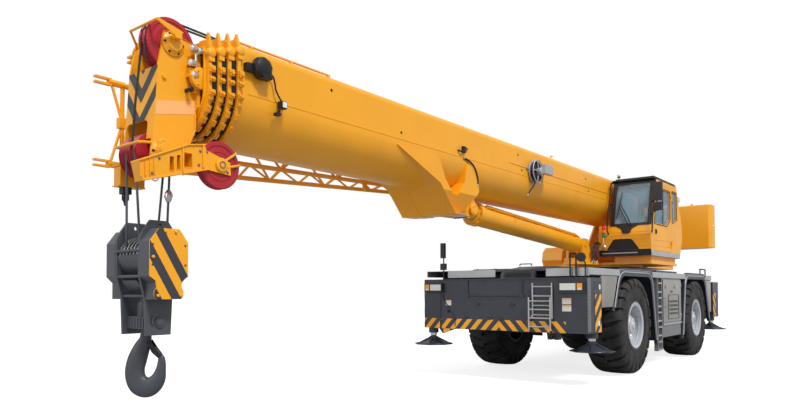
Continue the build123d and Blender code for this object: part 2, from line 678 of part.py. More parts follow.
def front_line(z, inwards):
    """X on the windscreen's slope at height z, a distance behind the outer face."""
    (x_low, z_low), (x_high, z_high) = cab_outline[1], cab_outline[2]
    return mid_x + x_low + (x_high - x_low) * (z - z_low) / (z_high - z_low) - inwards


def rear_line(z, inwards):
    """X on the rear wall's slope at height z, a distance ahead of the outer face."""
    (x_high, z_high), (x_low, z_low) = cab_outline[4], cab_outline[5]
    return mid_x + x_low + (x_high - x_low) * (z - z_low) / (z_high - z_low) + inwards


screen_z, rear_z, side_z = (2830.0, 3850.0), (3170.0, 3560.0), (3080.0, 3780.0)
screen_y = (cab_inner_y + 75, cab_outer_y - 70)


def window_blanks(near, far, mode):
    """The cab's four fixed windows as slabs from near to far behind the outer faces."""
    side_plate([(front_line(screen_z[0], far), screen_z[0]), (front_line(screen_z[0], near), screen_z[0]),
                (front_line(screen_z[1], near), screen_z[1]), (front_line(screen_z[1], far), screen_z[1])],
               screen_y, mode=mode)
    side_plate([(rear_line(rear_z[0], far), rear_z[0]), (rear_line(rear_z[0], near), rear_z[0]),
                (rear_line(rear_z[1], near), rear_z[1]), (rear_line(rear_z[1], far), rear_z[1])],
               screen_y, mode=mode)
    side_plate([(mid_x + x, z) for x, z in ((-1160, 3180), (-800, 3080), (-800, 3780), (-1130, 3780))],
               span(cab_outer_y - near, cab_outer_y - far), mode=mode)
    side_plate([(mid_x + x, z) for x, z in ((-1100, side_z[0]), (500, side_z[0]), (330, side_z[1]),
                                            (-1100, side_z[1]))],
               span(cab_inner_y + near, cab_inner_y + far), mode=mode)
    block((mid_x - 500, mid_x + 250), (cab_inner_y + 130, cab_outer_y - 130),
          span(cab_top - near, cab_top - far), mode=mode)


hinge_axis = (mid_x + door_rear - 3, cab_outer_y + 16)
hinge_heights = (2560.0, 3600.0)
knuckle_height = 60.0
door_knuckle_radius = 15.0
door_pin_radius = 9.0
door_pin_gap = 0.3
with BuildPart() as cab_body:
    add(cab_volume(0))
    add(cab_volume(cab_wall), mode=Mode.SUBTRACT)
    window_blanks(-60, 60, Mode.SUBTRACT)
    side_plate([(mid_x + x, z) for x, z in door_outline], (cab_outer_y - cab_wall - 1, cab_outer_y + 1),
               mode=Mode.SUBTRACT)
    for z in hinge_heights:
        block((hinge_axis[0] - 60, hinge_axis[0]), (cab_outer_y - 5, hinge_axis[1]), (z, z + knuckle_height))
        with Locations((*hinge_axis, z + knuckle_height / 2)):
            Cylinder(door_knuckle_radius, knuckle_height)
            Cylinder(door_pin_radius + door_pin_gap, knuckle_height, mode=Mode.SUBTRACT)
    # skirt under the cab, down to the turntable plate
    block((mid_x - 1200, mid_x + 540), (600, 1370), (plate_top, cab_bottom + 1))
# the tub with the floor and the low walls, and the cage of pillars and roof that stands on it
with BuildPart() as cab_tub:
    add(cab_body.part)
    split(bisect_by=Plane.XY.offset(foot_top), keep=Keep.BOTTOM)
cab_tub.part.label = "cab_tub"
export_step(cab_tub.part, "parts/cab_tub.step")

with BuildPart() as cab_shell:
    add(cab_body.part)
    split(bisect_by=Plane.XY.offset(foot_top), keep=Keep.TOP)
cab_shell.part.label = "cab_shell"
export_step(cab_shell.part, "parts/cab_shell.step")

with BuildPart() as cab_glass:
    window_blanks(18, 18 + cab_glass_thickness, Mode.ADD)
cab_glass.part.label = "cab_glass"
export_step(cab_glass.part, "parts/cab_glass.step")

with BuildPart() as cab_door:
    with BuildSketch(Plane.XZ.offset(-cab_outer_y)):
        with BuildLine():
            Polyline(*[(mid_x + x, z) for x, z in door_outline], close=True)
        make_face()
        offset(amount=-door_gap, kind=Kind.INTERSECTION)
    extrude(amount=cab_wall)
    side_plate([(mid_x + x, z) for x, z in door_window], (cab_outer_y - cab_wall - 1, cab_outer_y + 1),
               mode=Mode.SUBTRACT)
    for z in hinge_heights:
        for low in (z - 45, z + knuckle_height + 2):
            block((hinge_axis[0], hinge_axis[0] + 75), (cab_outer_y, hinge_axis[1]), (low, low + 43))
            with Locations((*hinge_axis, low + 21.5)):
                Cylinder(door_knuckle_radius, 43)
        with Locations((*hinge_axis, z + knuckle_height / 2)):
            Cylinder(door_pin_radius, knuckle_height + 80)
cab_door.part.label = "cab_door"
export_step(cab_door.part, "parts/cab_door.step")

with BuildPart() as door_glass:
    side_plate([(mid_x + x, z) for x, z in door_window],
               (cab_outer_y - 18 - cab_glass_thickness, cab_outer_y - 18))
door_glass.part.label = "door_glass"
export_step(door_glass.part, "parts/door_glass.step")

# ---- seat and console in the cab ---------------------------------------------------------------
cab_floor = cab_bottom + cab_wall
with BuildPart() as cab_interior:
    block((mid_x - 700, mid_x - 120), (820, 1200), (cab_floor, cab_floor + 260))
    side_plate([(mid_x + x, z) for x, z in ((-100, 2600), (-120, 2720), (-640, 2700), (-860, 3420),
                                            (-980, 3400), (-800, 2600))], (780, 1240))
    for y in (690, 1270):
        block((mid_x - 560, mid_x - 60), (y - 45, y + 45), (cab_floor, 2860))
    side_plate([(mid_x + x, z) for x, z in ((420, cab_floor), (400, 2700), (250, 2950), (330, 2960),
                                            (600, 2720), (600, cab_floor))], (860, 1160))
cab_interior.part.label = "cab_interior"
export_step(cab_interior.part, "parts/cab_interior.step")

# ---- roof guard and mirrors --------------------------------------------------------------------
with BuildPart() as cab_fittings:
    guard_z = cab_top + 40
    guard_x = (mid_x - 1100, mid_x + 400)
    guard_y = (cab_inner_y + 40, cab_outer_y - 40)
    for y in guard_y:
        bar((guard_x[0], y, guard_z), (guard_x[1], y, guard_z), 14)
        for x in guard_x:
            bar((x, y, cab_top), (x, y, guard_z), 14)
    for number in range(9):
        x = guard_x[0] + number * (guard_x[1] - guard_x[0]) / 8
        bar((x, guard_y[0], guard_z), (x, guard_y[1], guard_z), 9)
    arm_x = mid_x + 700
    bar((front_line(3700, 10), cab_outer_y - 60, 3700), (arm_x, cab_outer_y + 120, 3640), 12)
    bar((front_line(3100, 10), cab_outer_y - 60, 3100), (arm_x, cab_outer_y + 120, 3240), 12)
    bar((arm_x, cab_outer_y + 120, 3200), (arm_x, cab_outer_y + 120, 3800), 12)
    block((arm_x - 25, arm_x + 35), (cab_outer_y + 40, cab_outer_y + 230), (3420, 3800))
    block((arm_x - 25, arm_x + 35), (cab_outer_y + 50, cab_outer_y + 220), (3210, 3380))
    add(cab_volume(0), mode=Mode.SUBTRACT)
cab_fittings.part.label = "cab_fittings"
export_step(cab_fittings.part, "parts/cab_fittings.step")

# ---- boom sections -----------------------------------------------------------------------------
boom_arc_z = boom_bottom + boom_half


def boom_profile(inset):
    """Flat top with rounded corners and a half-round bottom, drawn in by inset."""
    half = boom_half - inset
    top = boom_top - inset
    corner = boom_corner - min(inset / 4, 60)
    with BuildLine() as outline:
        FilletPolyline((half, boom_arc_z), (half, top), (-half, top), (-half, boom_arc_z), radius=corner)
        ThreePointArc((-half, boom_arc_z), (0, boom_arc_z - half), (half, boom_arc_z))
    make_face(outline.edges())


def ring(outer, inner, x):
    """Length of boom tube or collar between the insets outer and inner, over the pair x."""
    with BuildSketch(Plane.YZ.offset(x[0])) as outline:
        boom_profile(outer)
    with BuildSketch(Plane.YZ.offset(x[0])) as hollow:
        boom_profile(inner)
    extrude(outline.sketch, amount=x[1] - x[0])
    extrude(hollow.sketch, amount=x[1] - x[0], mode=Mode.SUBTRACT)


section_rear_x = boom_pivot_x + 200
jib_arms_x = (mid_x + 7300, mid_x + 9700)
jib_arm_z = (3485.0, 3545.0)


def section_inset(number):
    """Inset of the outer face of boom section 0 (base) to 4 (head)."""
    return number * section_step


def collar_x(number):
    """X where the front collar of a boom section starts."""
    return boom_front_x + number * collar_pitch


def collar(number):
    """Front collar of a section, with the wear ring that guides the next section and a spike."""
    ring(section_inset(number) - collar_rim, section_inset(number + 1) - pad_gap,
         (collar_x(number), collar_x(number) + collar_length))
    crest = boom_top - section_inset(number) + collar_rim
    spike_y = boom_half - 25 - section_inset(number) * 0.8
    spike_top = boom_top + spike_height - section_inset(number) * 0.7
    cross_plate([(spike_y - 60, crest - 40), (spike_y - 40, crest - 6), (spike_y - 7, spike_top), (spike_y + 7, spike_top),
                 (spike_y + 38, crest - 60), (spike_y + 38, crest - 110)],
                (collar_x(number) + 8, collar_x(number) + collar_length - 8))


with BuildPart() as boom_base:
    ring(0, boom_wall, (boom_rear_x, boom_front_x))
    collar(0)
    # bosses for the boom pin
    for side_name, side in sides:
        bar((boom_pivot_x, side * (boom_half - 40), boom_pivot_z),
            (boom_pivot_x, side * (cheek_inner - pad_gap), boom_pivot_z), 150)
    bar((boom_pivot_x, -boom_half - 20, boom_pivot_z), (boom_pivot_x, boom_half + 20, boom_pivot_z),
        boom_pin_radius + turning_fit, mode=Mode.SUBTRACT)
    # saddle for the luff cylinder: a sloping front plate and a rear plate that meet above the eye
    with BuildPart(mode=Mode.PRIVATE) as saddle:
        side_plate([(mid_x + x, z) for x, z in saddle_outline], (-boom_half - 12, boom_half + 12))
        side_plate([(mid_x + x, z) for x, z in saddle_hollow], (-boom_half - 13, boom_half + 13), mode=Mode.SUBTRACT)
        for side_name, side in sides:
            cross_plate([(side * (boom_half + 13), 3000), (side * 330, 2690), (side * 330, 2500),
                         (side * (boom_half + 13), 2500)], (mid_x + 5000, mid_x + 8200), mode=Mode.SUBTRACT)
        # the lugs that hold the rod's eye
        for side_name, side in sides:
            side_plate([(luff_eye_x + 1100, 2990), (luff_eye_x + 900, 2720), (luff_eye_x - 60, 2740),
                        (luff_eye_x - 130, 2860), (luff_eye_x - 60, 3060), (luff_eye_x + 500, 3200)],
                       span(side * (cylinder_lug_gap + 3), side * (cylinder_lug_gap + 63)))
        block((luff_eye_x - 400, mid_x + 7000), (-cylinder_lug_gap - 3, cylinder_lug_gap + 3), (2500, 3030),
              mode=Mode.SUBTRACT)
        with BuildSketch(Plane.YZ.offset(mid_x + 5000)) as core:
            boom_profile(boom_wall / 2)
        extrude(core.sketch, amount=3300, mode=Mode.SUBTRACT)
    add(saddle.part)
    for side_name, side in sides:
        bar((luff_eye_x, side * (cylinder_lug_gap + 3), luff_eye_z), (luff_eye_x, side * 225, luff_eye_z), 80)
    # arms that carry the stowed jib
    for x in jib_arms_x:
        block((x - 30, x + 30), (-660, -boom_half + 5), jib_arm_z)
boom_base.part.label = "boom_base"
export_step(boom_base.part, "parts/boom_base.step")

for number in (1, 2, 3):
    with BuildPart() as boom_section:
        own = section_inset(number)
        rear = section_rear_x + number * 40
        ring(own, own + boom_wall, (rear, collar_x(number)))
        ring(section_inset(number - 1) + boom_wall + pad_gap, own + boom_wall, (rear, rear + 70))
        collar(number)
    boom_section.part.label = f"boom_section_{number + 1}"
    export_step(boom_section.part, f"parts/boom_section_{number + 1}.step")

sheave_shaft = 46.0

# ---- boom head on the innermost section --------------------------------------------------------
head_outline = [(11190, 3985), (10840, 3940), (10850, 3110), (10910, 2970), (11030, 2705), (11320, 2755),
                (11270, 3320), (11250, 3660)]
guard_x, guard_top = mid_x + 11335.0, 4015.0     # rope guard over the upper sheaves
with BuildPart() as boom_head:
    own = section_inset(4)
    rear = section_rear_x + 160
    ring(own, own + boom_wall, (rear, head_rear_x))
    ring(section_inset(3) + boom_wall + pad_gap, own + boom_wall, (rear, rear + 70))
    cross_plate([(-300, 3330), (-180, 3200), (180, 3200), (300, 3330), (300, 3830), (240, 3930), (-240, 3930),
                 (-300, 3830)], (head_rear_x - 10, head_rear_x + 20))
    block((head_rear_x - 11, head_rear_x + 21), (-175, 230), (3600, 3931), mode=Mode.SUBTRACT)
    for side_name, side in sides:
        side_plate([(mid_x + x, z) for x, z in head_outline], span(side * head_half, side * (head_half + head_plate)))
    # front cover above the window, floor between the plates, foot at the lower right
    side_plate([(mid_x + x, z) for x, z in ((11226, 3650), (11250, 3650), (11270, 3320), (11285, 3150), (11261, 3150),
                                            (11246, 3320))], (-head_half - 1, head_half + 1))
    side_plate([(mid_x + x, z) for x, z in ((11261, 3151), (11285, 3151), (11305, 2960), (11281, 2960))],
               (150, head_half + 1))
    block((head_rear_x, mid_x + 11060), (-head_half - 1, head_half + 1), (3200, 3224))
    block((mid_x + 11080, mid_x + 11330), (-370, -head_half - head_plate + 1), (2578, 2765))
    for z in (3801, 3852):
        block((mid_x + 11165, mid_x + 11215), (-365, -head_half - head_plate + 1), (z, z + 20))
    for x, z in ((upper_sheave_x, upper_sheave_z), (lower_sheave_x, lower_sheave_z)):
        bar((x, -head_half - head_plate, z), (x, head_half + head_plate, z), sheave_shaft)
    # rope guards over the upper and before the lower sheaves
    tube((guard_x, -90, guard_top), (guard_x, 366, guard_top), 12)
    tube((guard_x, -84, guard_top), (mid_x + 11170, -head_half - 12, 3930), 12)
    side_plate([(guard_x + 13, guard_top + 3), (guard_x - 10, guard_top + 19), (mid_x + 11060, 3975),
                (mid_x + 11110, 3905)], (352, 366))
    block((mid_x + 11075, mid_x + 11140), (head_half + head_plate - 1, 366), (3905, 3960))
    tube((lower_sheave_x + 224, -165, 2905), (lower_sheave_x + 224, 250, 2905), 14)
    tube((mid_x + 11290, -head_half - 12, 2920), (lower_sheave_x + 224, -155, 2905), 13)
    tube((mid_x + 11290, head_half + 12, 2920), (lower_sheave_x + 224, 239, 2905), 13)
boom_head.part.label = "boom_head"
export_step(boom_head.part, "parts/boom_head.step")

# ---- sheaves of the head -----------------------------------------------------------------------
groove_depth = 26.0
lower_pitch = 48.0
upper_sheave_ys = (121.0, 190.0)


def sheave_profile(radius, bore, count, pitch):
    """(radius, offset) outline of count grooved sheaves side by side."""
    points = []
    first = -(count - 1) * pitch / 2
    for number in range(count):
        middle = first + number * pitch
        points += [(radius, middle - pitch * 0.46), (radius - groove_depth, middle - pitch * 0.2),
                   (radius - groove_depth, middle + pitch * 0.2), (radius, middle + pitch * 0.46)]
    half = count * pitch / 2
    return [(bore, -half), *points, (bore, half)]


aux_sheave = (mid_x + 10738.0, 455.0, 2762.0)
aux_radius = 229.0
with BuildPart() as head_sheaves:
    bore = sheave_shaft + turning_fit
    for y in upper_sheave_ys:
        turned(sheave_profile(upper_sheave_radius, bore, 1, 66), (upper_sheave_x, y, upper_sheave_z), 1)
    turned(sheave_profile(lower_sheave_radius, bore, 6, lower_pitch), (lower_sheave_x, 0, lower_sheave_z), 1)
    turned(sheave_profile(aux_radius, 40 + turning_fit, 1, 66), aux_sheave, 1)
head_sheaves.part.label = "head_sheaves"
export_step(head_sheaves.part, "parts/head_sheaves.step")

# ---- folded auxiliary bracket on the left of the head ------------------------------------------
with BuildPart() as aux_bracket:
    inner_y = head_half + head_plate
    side_plate([(mid_x + x, z) for x, z in ((11020, 2740), (11280, 2740), (11270, 2930), (11020, 2930))],
               (inner_y, 400))
    side_plate([(mid_x + x, z) for x, z in ((11590, 2667), (11114, 2881), (10928, 2914), (10888, 2691),
                                            (11550, 2505))], (400, 530))
    bar((aux_sheave[0], 416, aux_sheave[2]), (aux_sheave[0], 494, aux_sheave[2]), aux_radius + 8, mode=Mode.SUBTRACT)
    for x, z, half in ((11277, 2691, 20), (11209, 2714, 16), (11116, 2747, 45)):
        block((mid_x + x - half, mid_x + x + half), (399, 531), (z - 62, z + 62), mode=Mode.SUBTRACT)
    for y in ((400, 415), (495, 510)):
        side_plate([(mid_x + x, z) for x, z in ((10950, 2890), (10633, 2800), (10625, 2675), (10950, 2700))], y)
    bar((aux_sheave[0], 396, aux_sheave[2]), (aux_sheave[0], 516, aux_sheave[2]), 40)
    tube((mid_x + 10700, 502, 2800), (mid_x + 10555, 502, 2902), 13)
    tube((mid_x + 10700, 502, 2740), (mid_x + 10512, 502, 2790), 13)
aux_bracket.part.label = "aux_bracket"
export_step(aux_bracket.part, "parts/aux_bracket.step")

# ---- stowed lattice jib on the right of the boom -----------------------------------------------
jib_front_x, jib_rear_x = mid_x + 10965.0, mid_x + 6400.0
jib_near_y, jib_far_y = -680.0, -900.0
# z at the front and at the rear of the low and the high chord on either side
jib_heights = {jib_near_y: ((3060.0, 3200.0), (3700.0, 3330.0)), jib_far_y: ((2892.0, 3150.0), (3755.0, 3330.0))}
jib_bays = 9


def jib_point(share, y, heights):
    """Point on a chord, share 0 at the front and 1 at the rear."""
    return (jib_front_x + (jib_rear_x - jib_front_x) * share, y, heights[0] + (heights[1] - heights[0]) * share)


with BuildPart() as stowed_jib:
    for y, (low, high) in jib_heights.items():
        for heights in (low, high):
            tube(jib_point(0, y, heights), jib_point(1, y, heights), 30)
        tube(jib_point(0, y, low), jib_point(0, y, high), 26, 6)
        for bay in range(jib_bays):
            start, finish = (low, high) if bay % 2 == 0 else (high, low)
            tube(jib_point(bay / jib_bays, y, start), jib_point((bay + 1) / jib_bays, y, finish), 17, 6)
    for level in (0, 1):
        near, far = jib_heights[jib_near_y][level], jib_heights[jib_far_y][level]
        for bay in range(jib_bays):
            tube(jib_point(bay / jib_bays, jib_near_y, near), jib_point(bay / jib_bays, jib_far_y, far), 17, 6)
            tube(jib_point(bay / jib_bays, jib_near_y, near), jib_point((bay + 1) / jib_bays, jib_far_y, far), 14, 6)
    # end forks of the outer side, and the braces of its front frame
    for heights in jib_heights[jib_far_y]:
        x, y, z = jib_point(0, jib_far_y, heights)
        tube((x - 20, y, z), (x + 160, y, z), 36)
        for prong in (-28, 28):
            block((x + 130, x + 305), (y - 26, y + 26), (z + prong - 10, z + prong + 10))
    brace_z = (3290.0, 3400.0)
    block((jib_front_x - 40, jib_front_x + 45), (jib_far_y - 34, jib_far_y + 34), (brace_z[0], brace_z[1]))
    low, high = jib_heights[jib_far_y]
    tube((jib_front_x + 10, jib_far_y, brace_z[0] + 10), (jib_front_x + 135, jib_far_y, low[0]), 16)
    tube((jib_front_x + 10, jib_far_y, brace_z[1] - 10), (jib_front_x + 125, jib_far_y, high[0]), 16)
    for x in jib_arms_x:
        block((x - 30, x + 30), (-700, -660), (jib_arm_z[0] - 420, jib_arm_z[1]))
stowed_jib.part.label = "stowed_jib"
export_step(stowed_jib.part, "parts/stowed_jib.step")

# ---- luff cylinder -----------------------------------------------------------------------------
luff_run = (luff_eye_x - cylinder_base_x, luff_eye_z - cylinder_base_z)
luff_length = hypot(*luff_run)
luff_plane = Plane(origin=(cylinder_base_x, 0, cylinder_base_z), x_dir=(0, 1, 0),
                   z_dir=(luff_run[0], 0, luff_run[1]))
barrel_end = luff_length - 330
with BuildPart() as luff_barrel:
    with BuildSketch(luff_plane.offset(215)):
        Circle(luff_barrel_radius)
    extrude(amount=barrel_end - 215)
    with BuildSketch(luff_plane.offset(barrel_end - 120)):
        Circle(luff_barrel_radius + 20)
    extrude(amount=120)
    with BuildSketch(luff_plane):
        Rectangle(2 * cylinder_lug_gap - 4, 200)
    extrude(amount=230)
    bar((cylinder_base_x, -cylinder_lug_gap + 2, cylinder_base_z),
        (cylinder_base_x, cylinder_lug_gap - 2, cylinder_base_z), 118)
    bar((cylinder_base_x, -200, cylinder_base_z), (cylinder_base_x, 200, cylinder_base_z),
        cylinder_pin_radius + turning_fit, mode=Mode.SUBTRACT)
    with BuildSketch(luff_plane.offset(260)):
        Circle(luff_rod_radius + turning_fit)
    extrude(amount=luff_length, mode=Mode.SUBTRACT)
luff_barrel.part.label = "luff_barrel"
export_step(luff_barrel.part, "parts/luff_barrel.step")

with BuildPart() as luff_rod:
    with BuildSketch(luff_plane.offset(300)):
        Circle(luff_rod_radius)
    extrude(amount=luff_length - 300 - 60)
    bar((luff_eye_x, -cylinder_lug_gap + 4, luff_eye_z), (luff_eye_x, cylinder_lug_gap - 4, luff_eye_z), 128)
luff_rod.part.label = "luff_rod"
export_step(luff_rod.part, "parts/luff_rod.step")

# ---- hook block with the rope falls ------------------------------------------------------------
block_x = lower_sheave_x
block_sheave_z = 1905.0
block_sheave_radius = 165.0
rope_bite = 1.5
block_pitch = 60.0
fall_top = lower_sheave_radius - groove_depth + rope_radius + rope_gap
fall_low = block_sheave_radius - groove_depth + rope_radius - rope_bite
plate_outline = [(-90, block_top), (90, block_top), (150, 2130), (192, 2050), (192, 1700), (140, 1500),
                 (125, block_bottom), (-125, block_bottom), (-140, 1500), (-192, 1700), (-192, 2050), (-150, 2130)]
weight_outline = [(-105, 2130), (105, 2130), (195, 2010), (195, 1700), (135, 1640), (135, 1490), (-135, 1490),
                  (-135, 1640), (-195, 1700), (-195, 2010)]
shank_radius = 46.0
with BuildPart() as hook_block:
    for side_name, side in sides:
        side_plate([(block_x + x, z) for x, z in plate_outline],
                   span(side * (block_plate_half - 30), side * block_plate_half))
        side_plate([(block_x + x, z) for x, z in weight_outline],
                   span(side * block_plate_half, side * block_half))
        bar((block_x, side * (block_plate_half - 40), 2165), (block_x, side * (block_plate_half + 10), 2165), 20,
            mode=Mode.SUBTRACT)
    turned(sheave_profile(block_sheave_radius, 0, 6, block_pitch), (block_x, 0, block_sheave_z), 1)
    bar((block_x, -block_plate_half, block_sheave_z), (block_x, block_plate_half, block_sheave_z), 60)
    for x in (-170, 170):
        bar((block_x + x, -block_plate_half, 1700), (block_x + x, block_plate_half, 1700), 15)
        bar((block_x + x * 0.7, -block_plate_half, 1520), (block_x + x * 0.7, block_plate_half, 1520), 15)
    # trunnion that carries the swivelling hook
    block((block_x - 85, block_x + 85), (-block_plate_half, block_plate_half), (1215, 1330))
    with Locations((block_x, 0, 1270)):
        Cylinder(shank_radius + turning_fit, 130, mode=Mode.SUBTRACT)
    # four falls: (groove at the block, groove at the head, 1 before the sheaves or -1 behind them)
    for low_groove, top_groove, way in ((-1.5, -0.5, 1), (2.5, 2.5, 1), (-1.5, -0.5, -1), (1.5, 1.5, -1)):
        bar((block_x + way * fall_low, low_groove * block_pitch, block_sheave_z),
            (block_x + way * fall_top, top_groove * lower_pitch, lower_sheave_z), rope_radius)
hook_block.part.label = "hook_block"
export_step(hook_block.part, "parts/hook_block.step")

# ---- swivelling hook ---------------------------------------------------------------------------
hook_turn = radians(128.8)
hook_plane = Plane(origin=(block_x, 0, 0), x_dir=(cos(hook_turn), sin(hook_turn), 0),
                   z_dir=(sin(hook_turn), -cos(hook_turn), 0))
hook_thickness = 110.0
with BuildPart() as hook:
    with BuildSketch(hook_plane):
        with BuildLine():
            Line((60, 1125), (-60, 1125))
            ThreePointArc((-60, 1125), (-140, 1000), (-187, 850))
            ThreePointArc((-187, 850), (-12, hook_bottom), (184, 800))
            ThreePointArc((184, 800), (188, 890), (172, 965))
            Line((172, 965), (118, 965))
            ThreePointArc((118, 965), (112, 890), (90, 820))
            ThreePointArc((90, 820), (34, 768), (-10, 830))
            ThreePointArc((-10, 830), (12, 930), (60, 1125))
        make_face()
    extrude(amount=hook_thickness / 2, both=True)
    bar((block_x, 0, 1120), (block_x, 0, 1420), shank_radius)
    bar((block_x, 0, 1330 + pad_gap), (block_x, 0, 1470), 78)
    latch = [(30, 1085), (62, 1112), (158, 955), (126, 955)]
    with BuildSketch(hook_plane.offset(-20)):
        with BuildLine():
            Polyline(*latch, close=True)
        make_face()
    extrude(amount=40)
hook.part.label = "hook"
export_step(hook.part, "parts/hook.step")

print("part built")
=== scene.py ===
"""Looks of a rough-terrain mobile crane: paint, rubber, rope and the small fittings of its fixed frame."""
from __future__ import annotations

import json
import logging
from dataclasses import dataclass
from enum import Enum
from math import ceil, copysign, cos, floor, pi, radians, sin
from typing import Any, Iterable, Sequence

import bmesh
import bpy
from mathutils import Matrix, Vector

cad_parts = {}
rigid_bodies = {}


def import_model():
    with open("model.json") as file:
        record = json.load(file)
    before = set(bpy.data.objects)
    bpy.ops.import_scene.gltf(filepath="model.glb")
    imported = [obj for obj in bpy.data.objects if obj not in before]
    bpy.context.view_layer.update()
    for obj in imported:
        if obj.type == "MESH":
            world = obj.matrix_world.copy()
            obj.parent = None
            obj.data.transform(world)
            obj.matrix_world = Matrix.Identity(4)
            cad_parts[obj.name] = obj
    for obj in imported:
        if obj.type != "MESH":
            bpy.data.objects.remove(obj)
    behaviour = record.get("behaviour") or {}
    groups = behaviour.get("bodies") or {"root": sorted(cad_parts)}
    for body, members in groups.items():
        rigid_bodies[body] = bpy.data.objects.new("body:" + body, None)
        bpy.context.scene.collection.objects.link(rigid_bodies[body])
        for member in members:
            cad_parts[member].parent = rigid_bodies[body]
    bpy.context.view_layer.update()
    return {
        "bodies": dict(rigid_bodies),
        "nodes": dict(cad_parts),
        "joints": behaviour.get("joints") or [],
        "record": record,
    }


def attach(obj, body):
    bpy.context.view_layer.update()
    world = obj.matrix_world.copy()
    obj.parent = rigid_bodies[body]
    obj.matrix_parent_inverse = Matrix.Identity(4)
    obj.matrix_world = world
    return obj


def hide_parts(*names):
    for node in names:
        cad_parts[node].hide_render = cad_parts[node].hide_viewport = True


LOG = logging.getLogger("crane")
Point = tuple[float, float, float]
Flat = tuple[float, float]
Colour = tuple[float, float, float]
Socket = bpy.types.NodeSocket
Spots = Sequence[Sequence[float]]
SIDES = (-1, 1)
ENDS = ("front", "rear")
CORNERS = tuple(f"{end}_{side}" for end in ENDS for side in ("left", "right"))


# ---------------------------------------------------------------- finishes


class Nodes:
    """Grows the node tree of a material or of the sky."""

    def __init__(self, tree: bpy.types.NodeTree) -> None:
        """Takes the tree to grow."""
        self.tree = tree

    def feed(self, node: bpy.types.Node, inputs: dict[str | int, Any]) -> None:
        """Gives a node's inputs their values, or links them to other nodes.

        Args:
            node: the node to feed.
            inputs: a plain value or another node's output for each input.
        """
        for key, value in inputs.items():
            if isinstance(value, Socket):
                self.tree.links.new(value, node.inputs[key])
            else:
                node.inputs[key].default_value = value

    def add(self, kind: str, inputs: dict[str | int, Any], output: str, **settings: Any) -> Socket:
        """Adds a node.

        Args:
            kind: its type, without the prefix that all shader nodes share.
            inputs: what feeds it, as in feed.
            output: the output that is wanted.
            settings: its other properties.

        Returns:
            The wanted output.
        """
        node = self.tree.nodes.new(f"ShaderNode{kind}")
        for key, value in settings.items():
            setattr(node, key, value)
        self.feed(node, inputs)
        return node.outputs[output]

    def noise(self, where: Socket, scale: float, detail: float = 4.0) -> Socket:
        """A noise value with the given number of features in a metre."""
        return self.add("TexNoise", {"Vector": where, "Scale": scale, "Detail": detail}, "Fac")

    def ramp(self, value: Socket, *stops: tuple[float, Colour]) -> Socket:
        """A colour ramp over a value.

        Args:
            value: what picks the colour.
            stops: two places on the ramp with their colours.

        Returns:
            The colour.
        """
        node = self.tree.nodes.new("ShaderNodeValToRGB")
        for element, (place, colour) in zip(node.color_ramp.elements, stops):
            element.position = place
            element.color = (*colour, 1)
        self.feed(node, {"Fac": value})
        return node.outputs["Color"]


class Grain(Enum):
    """How the surface of a finish is broken up."""

    FINE = "fine"
    CHECKER = "checker"
    ROPE = "rope"
    BRUSHED = "brushed"
    WOVEN = "woven"
    PLAIN = "plain"


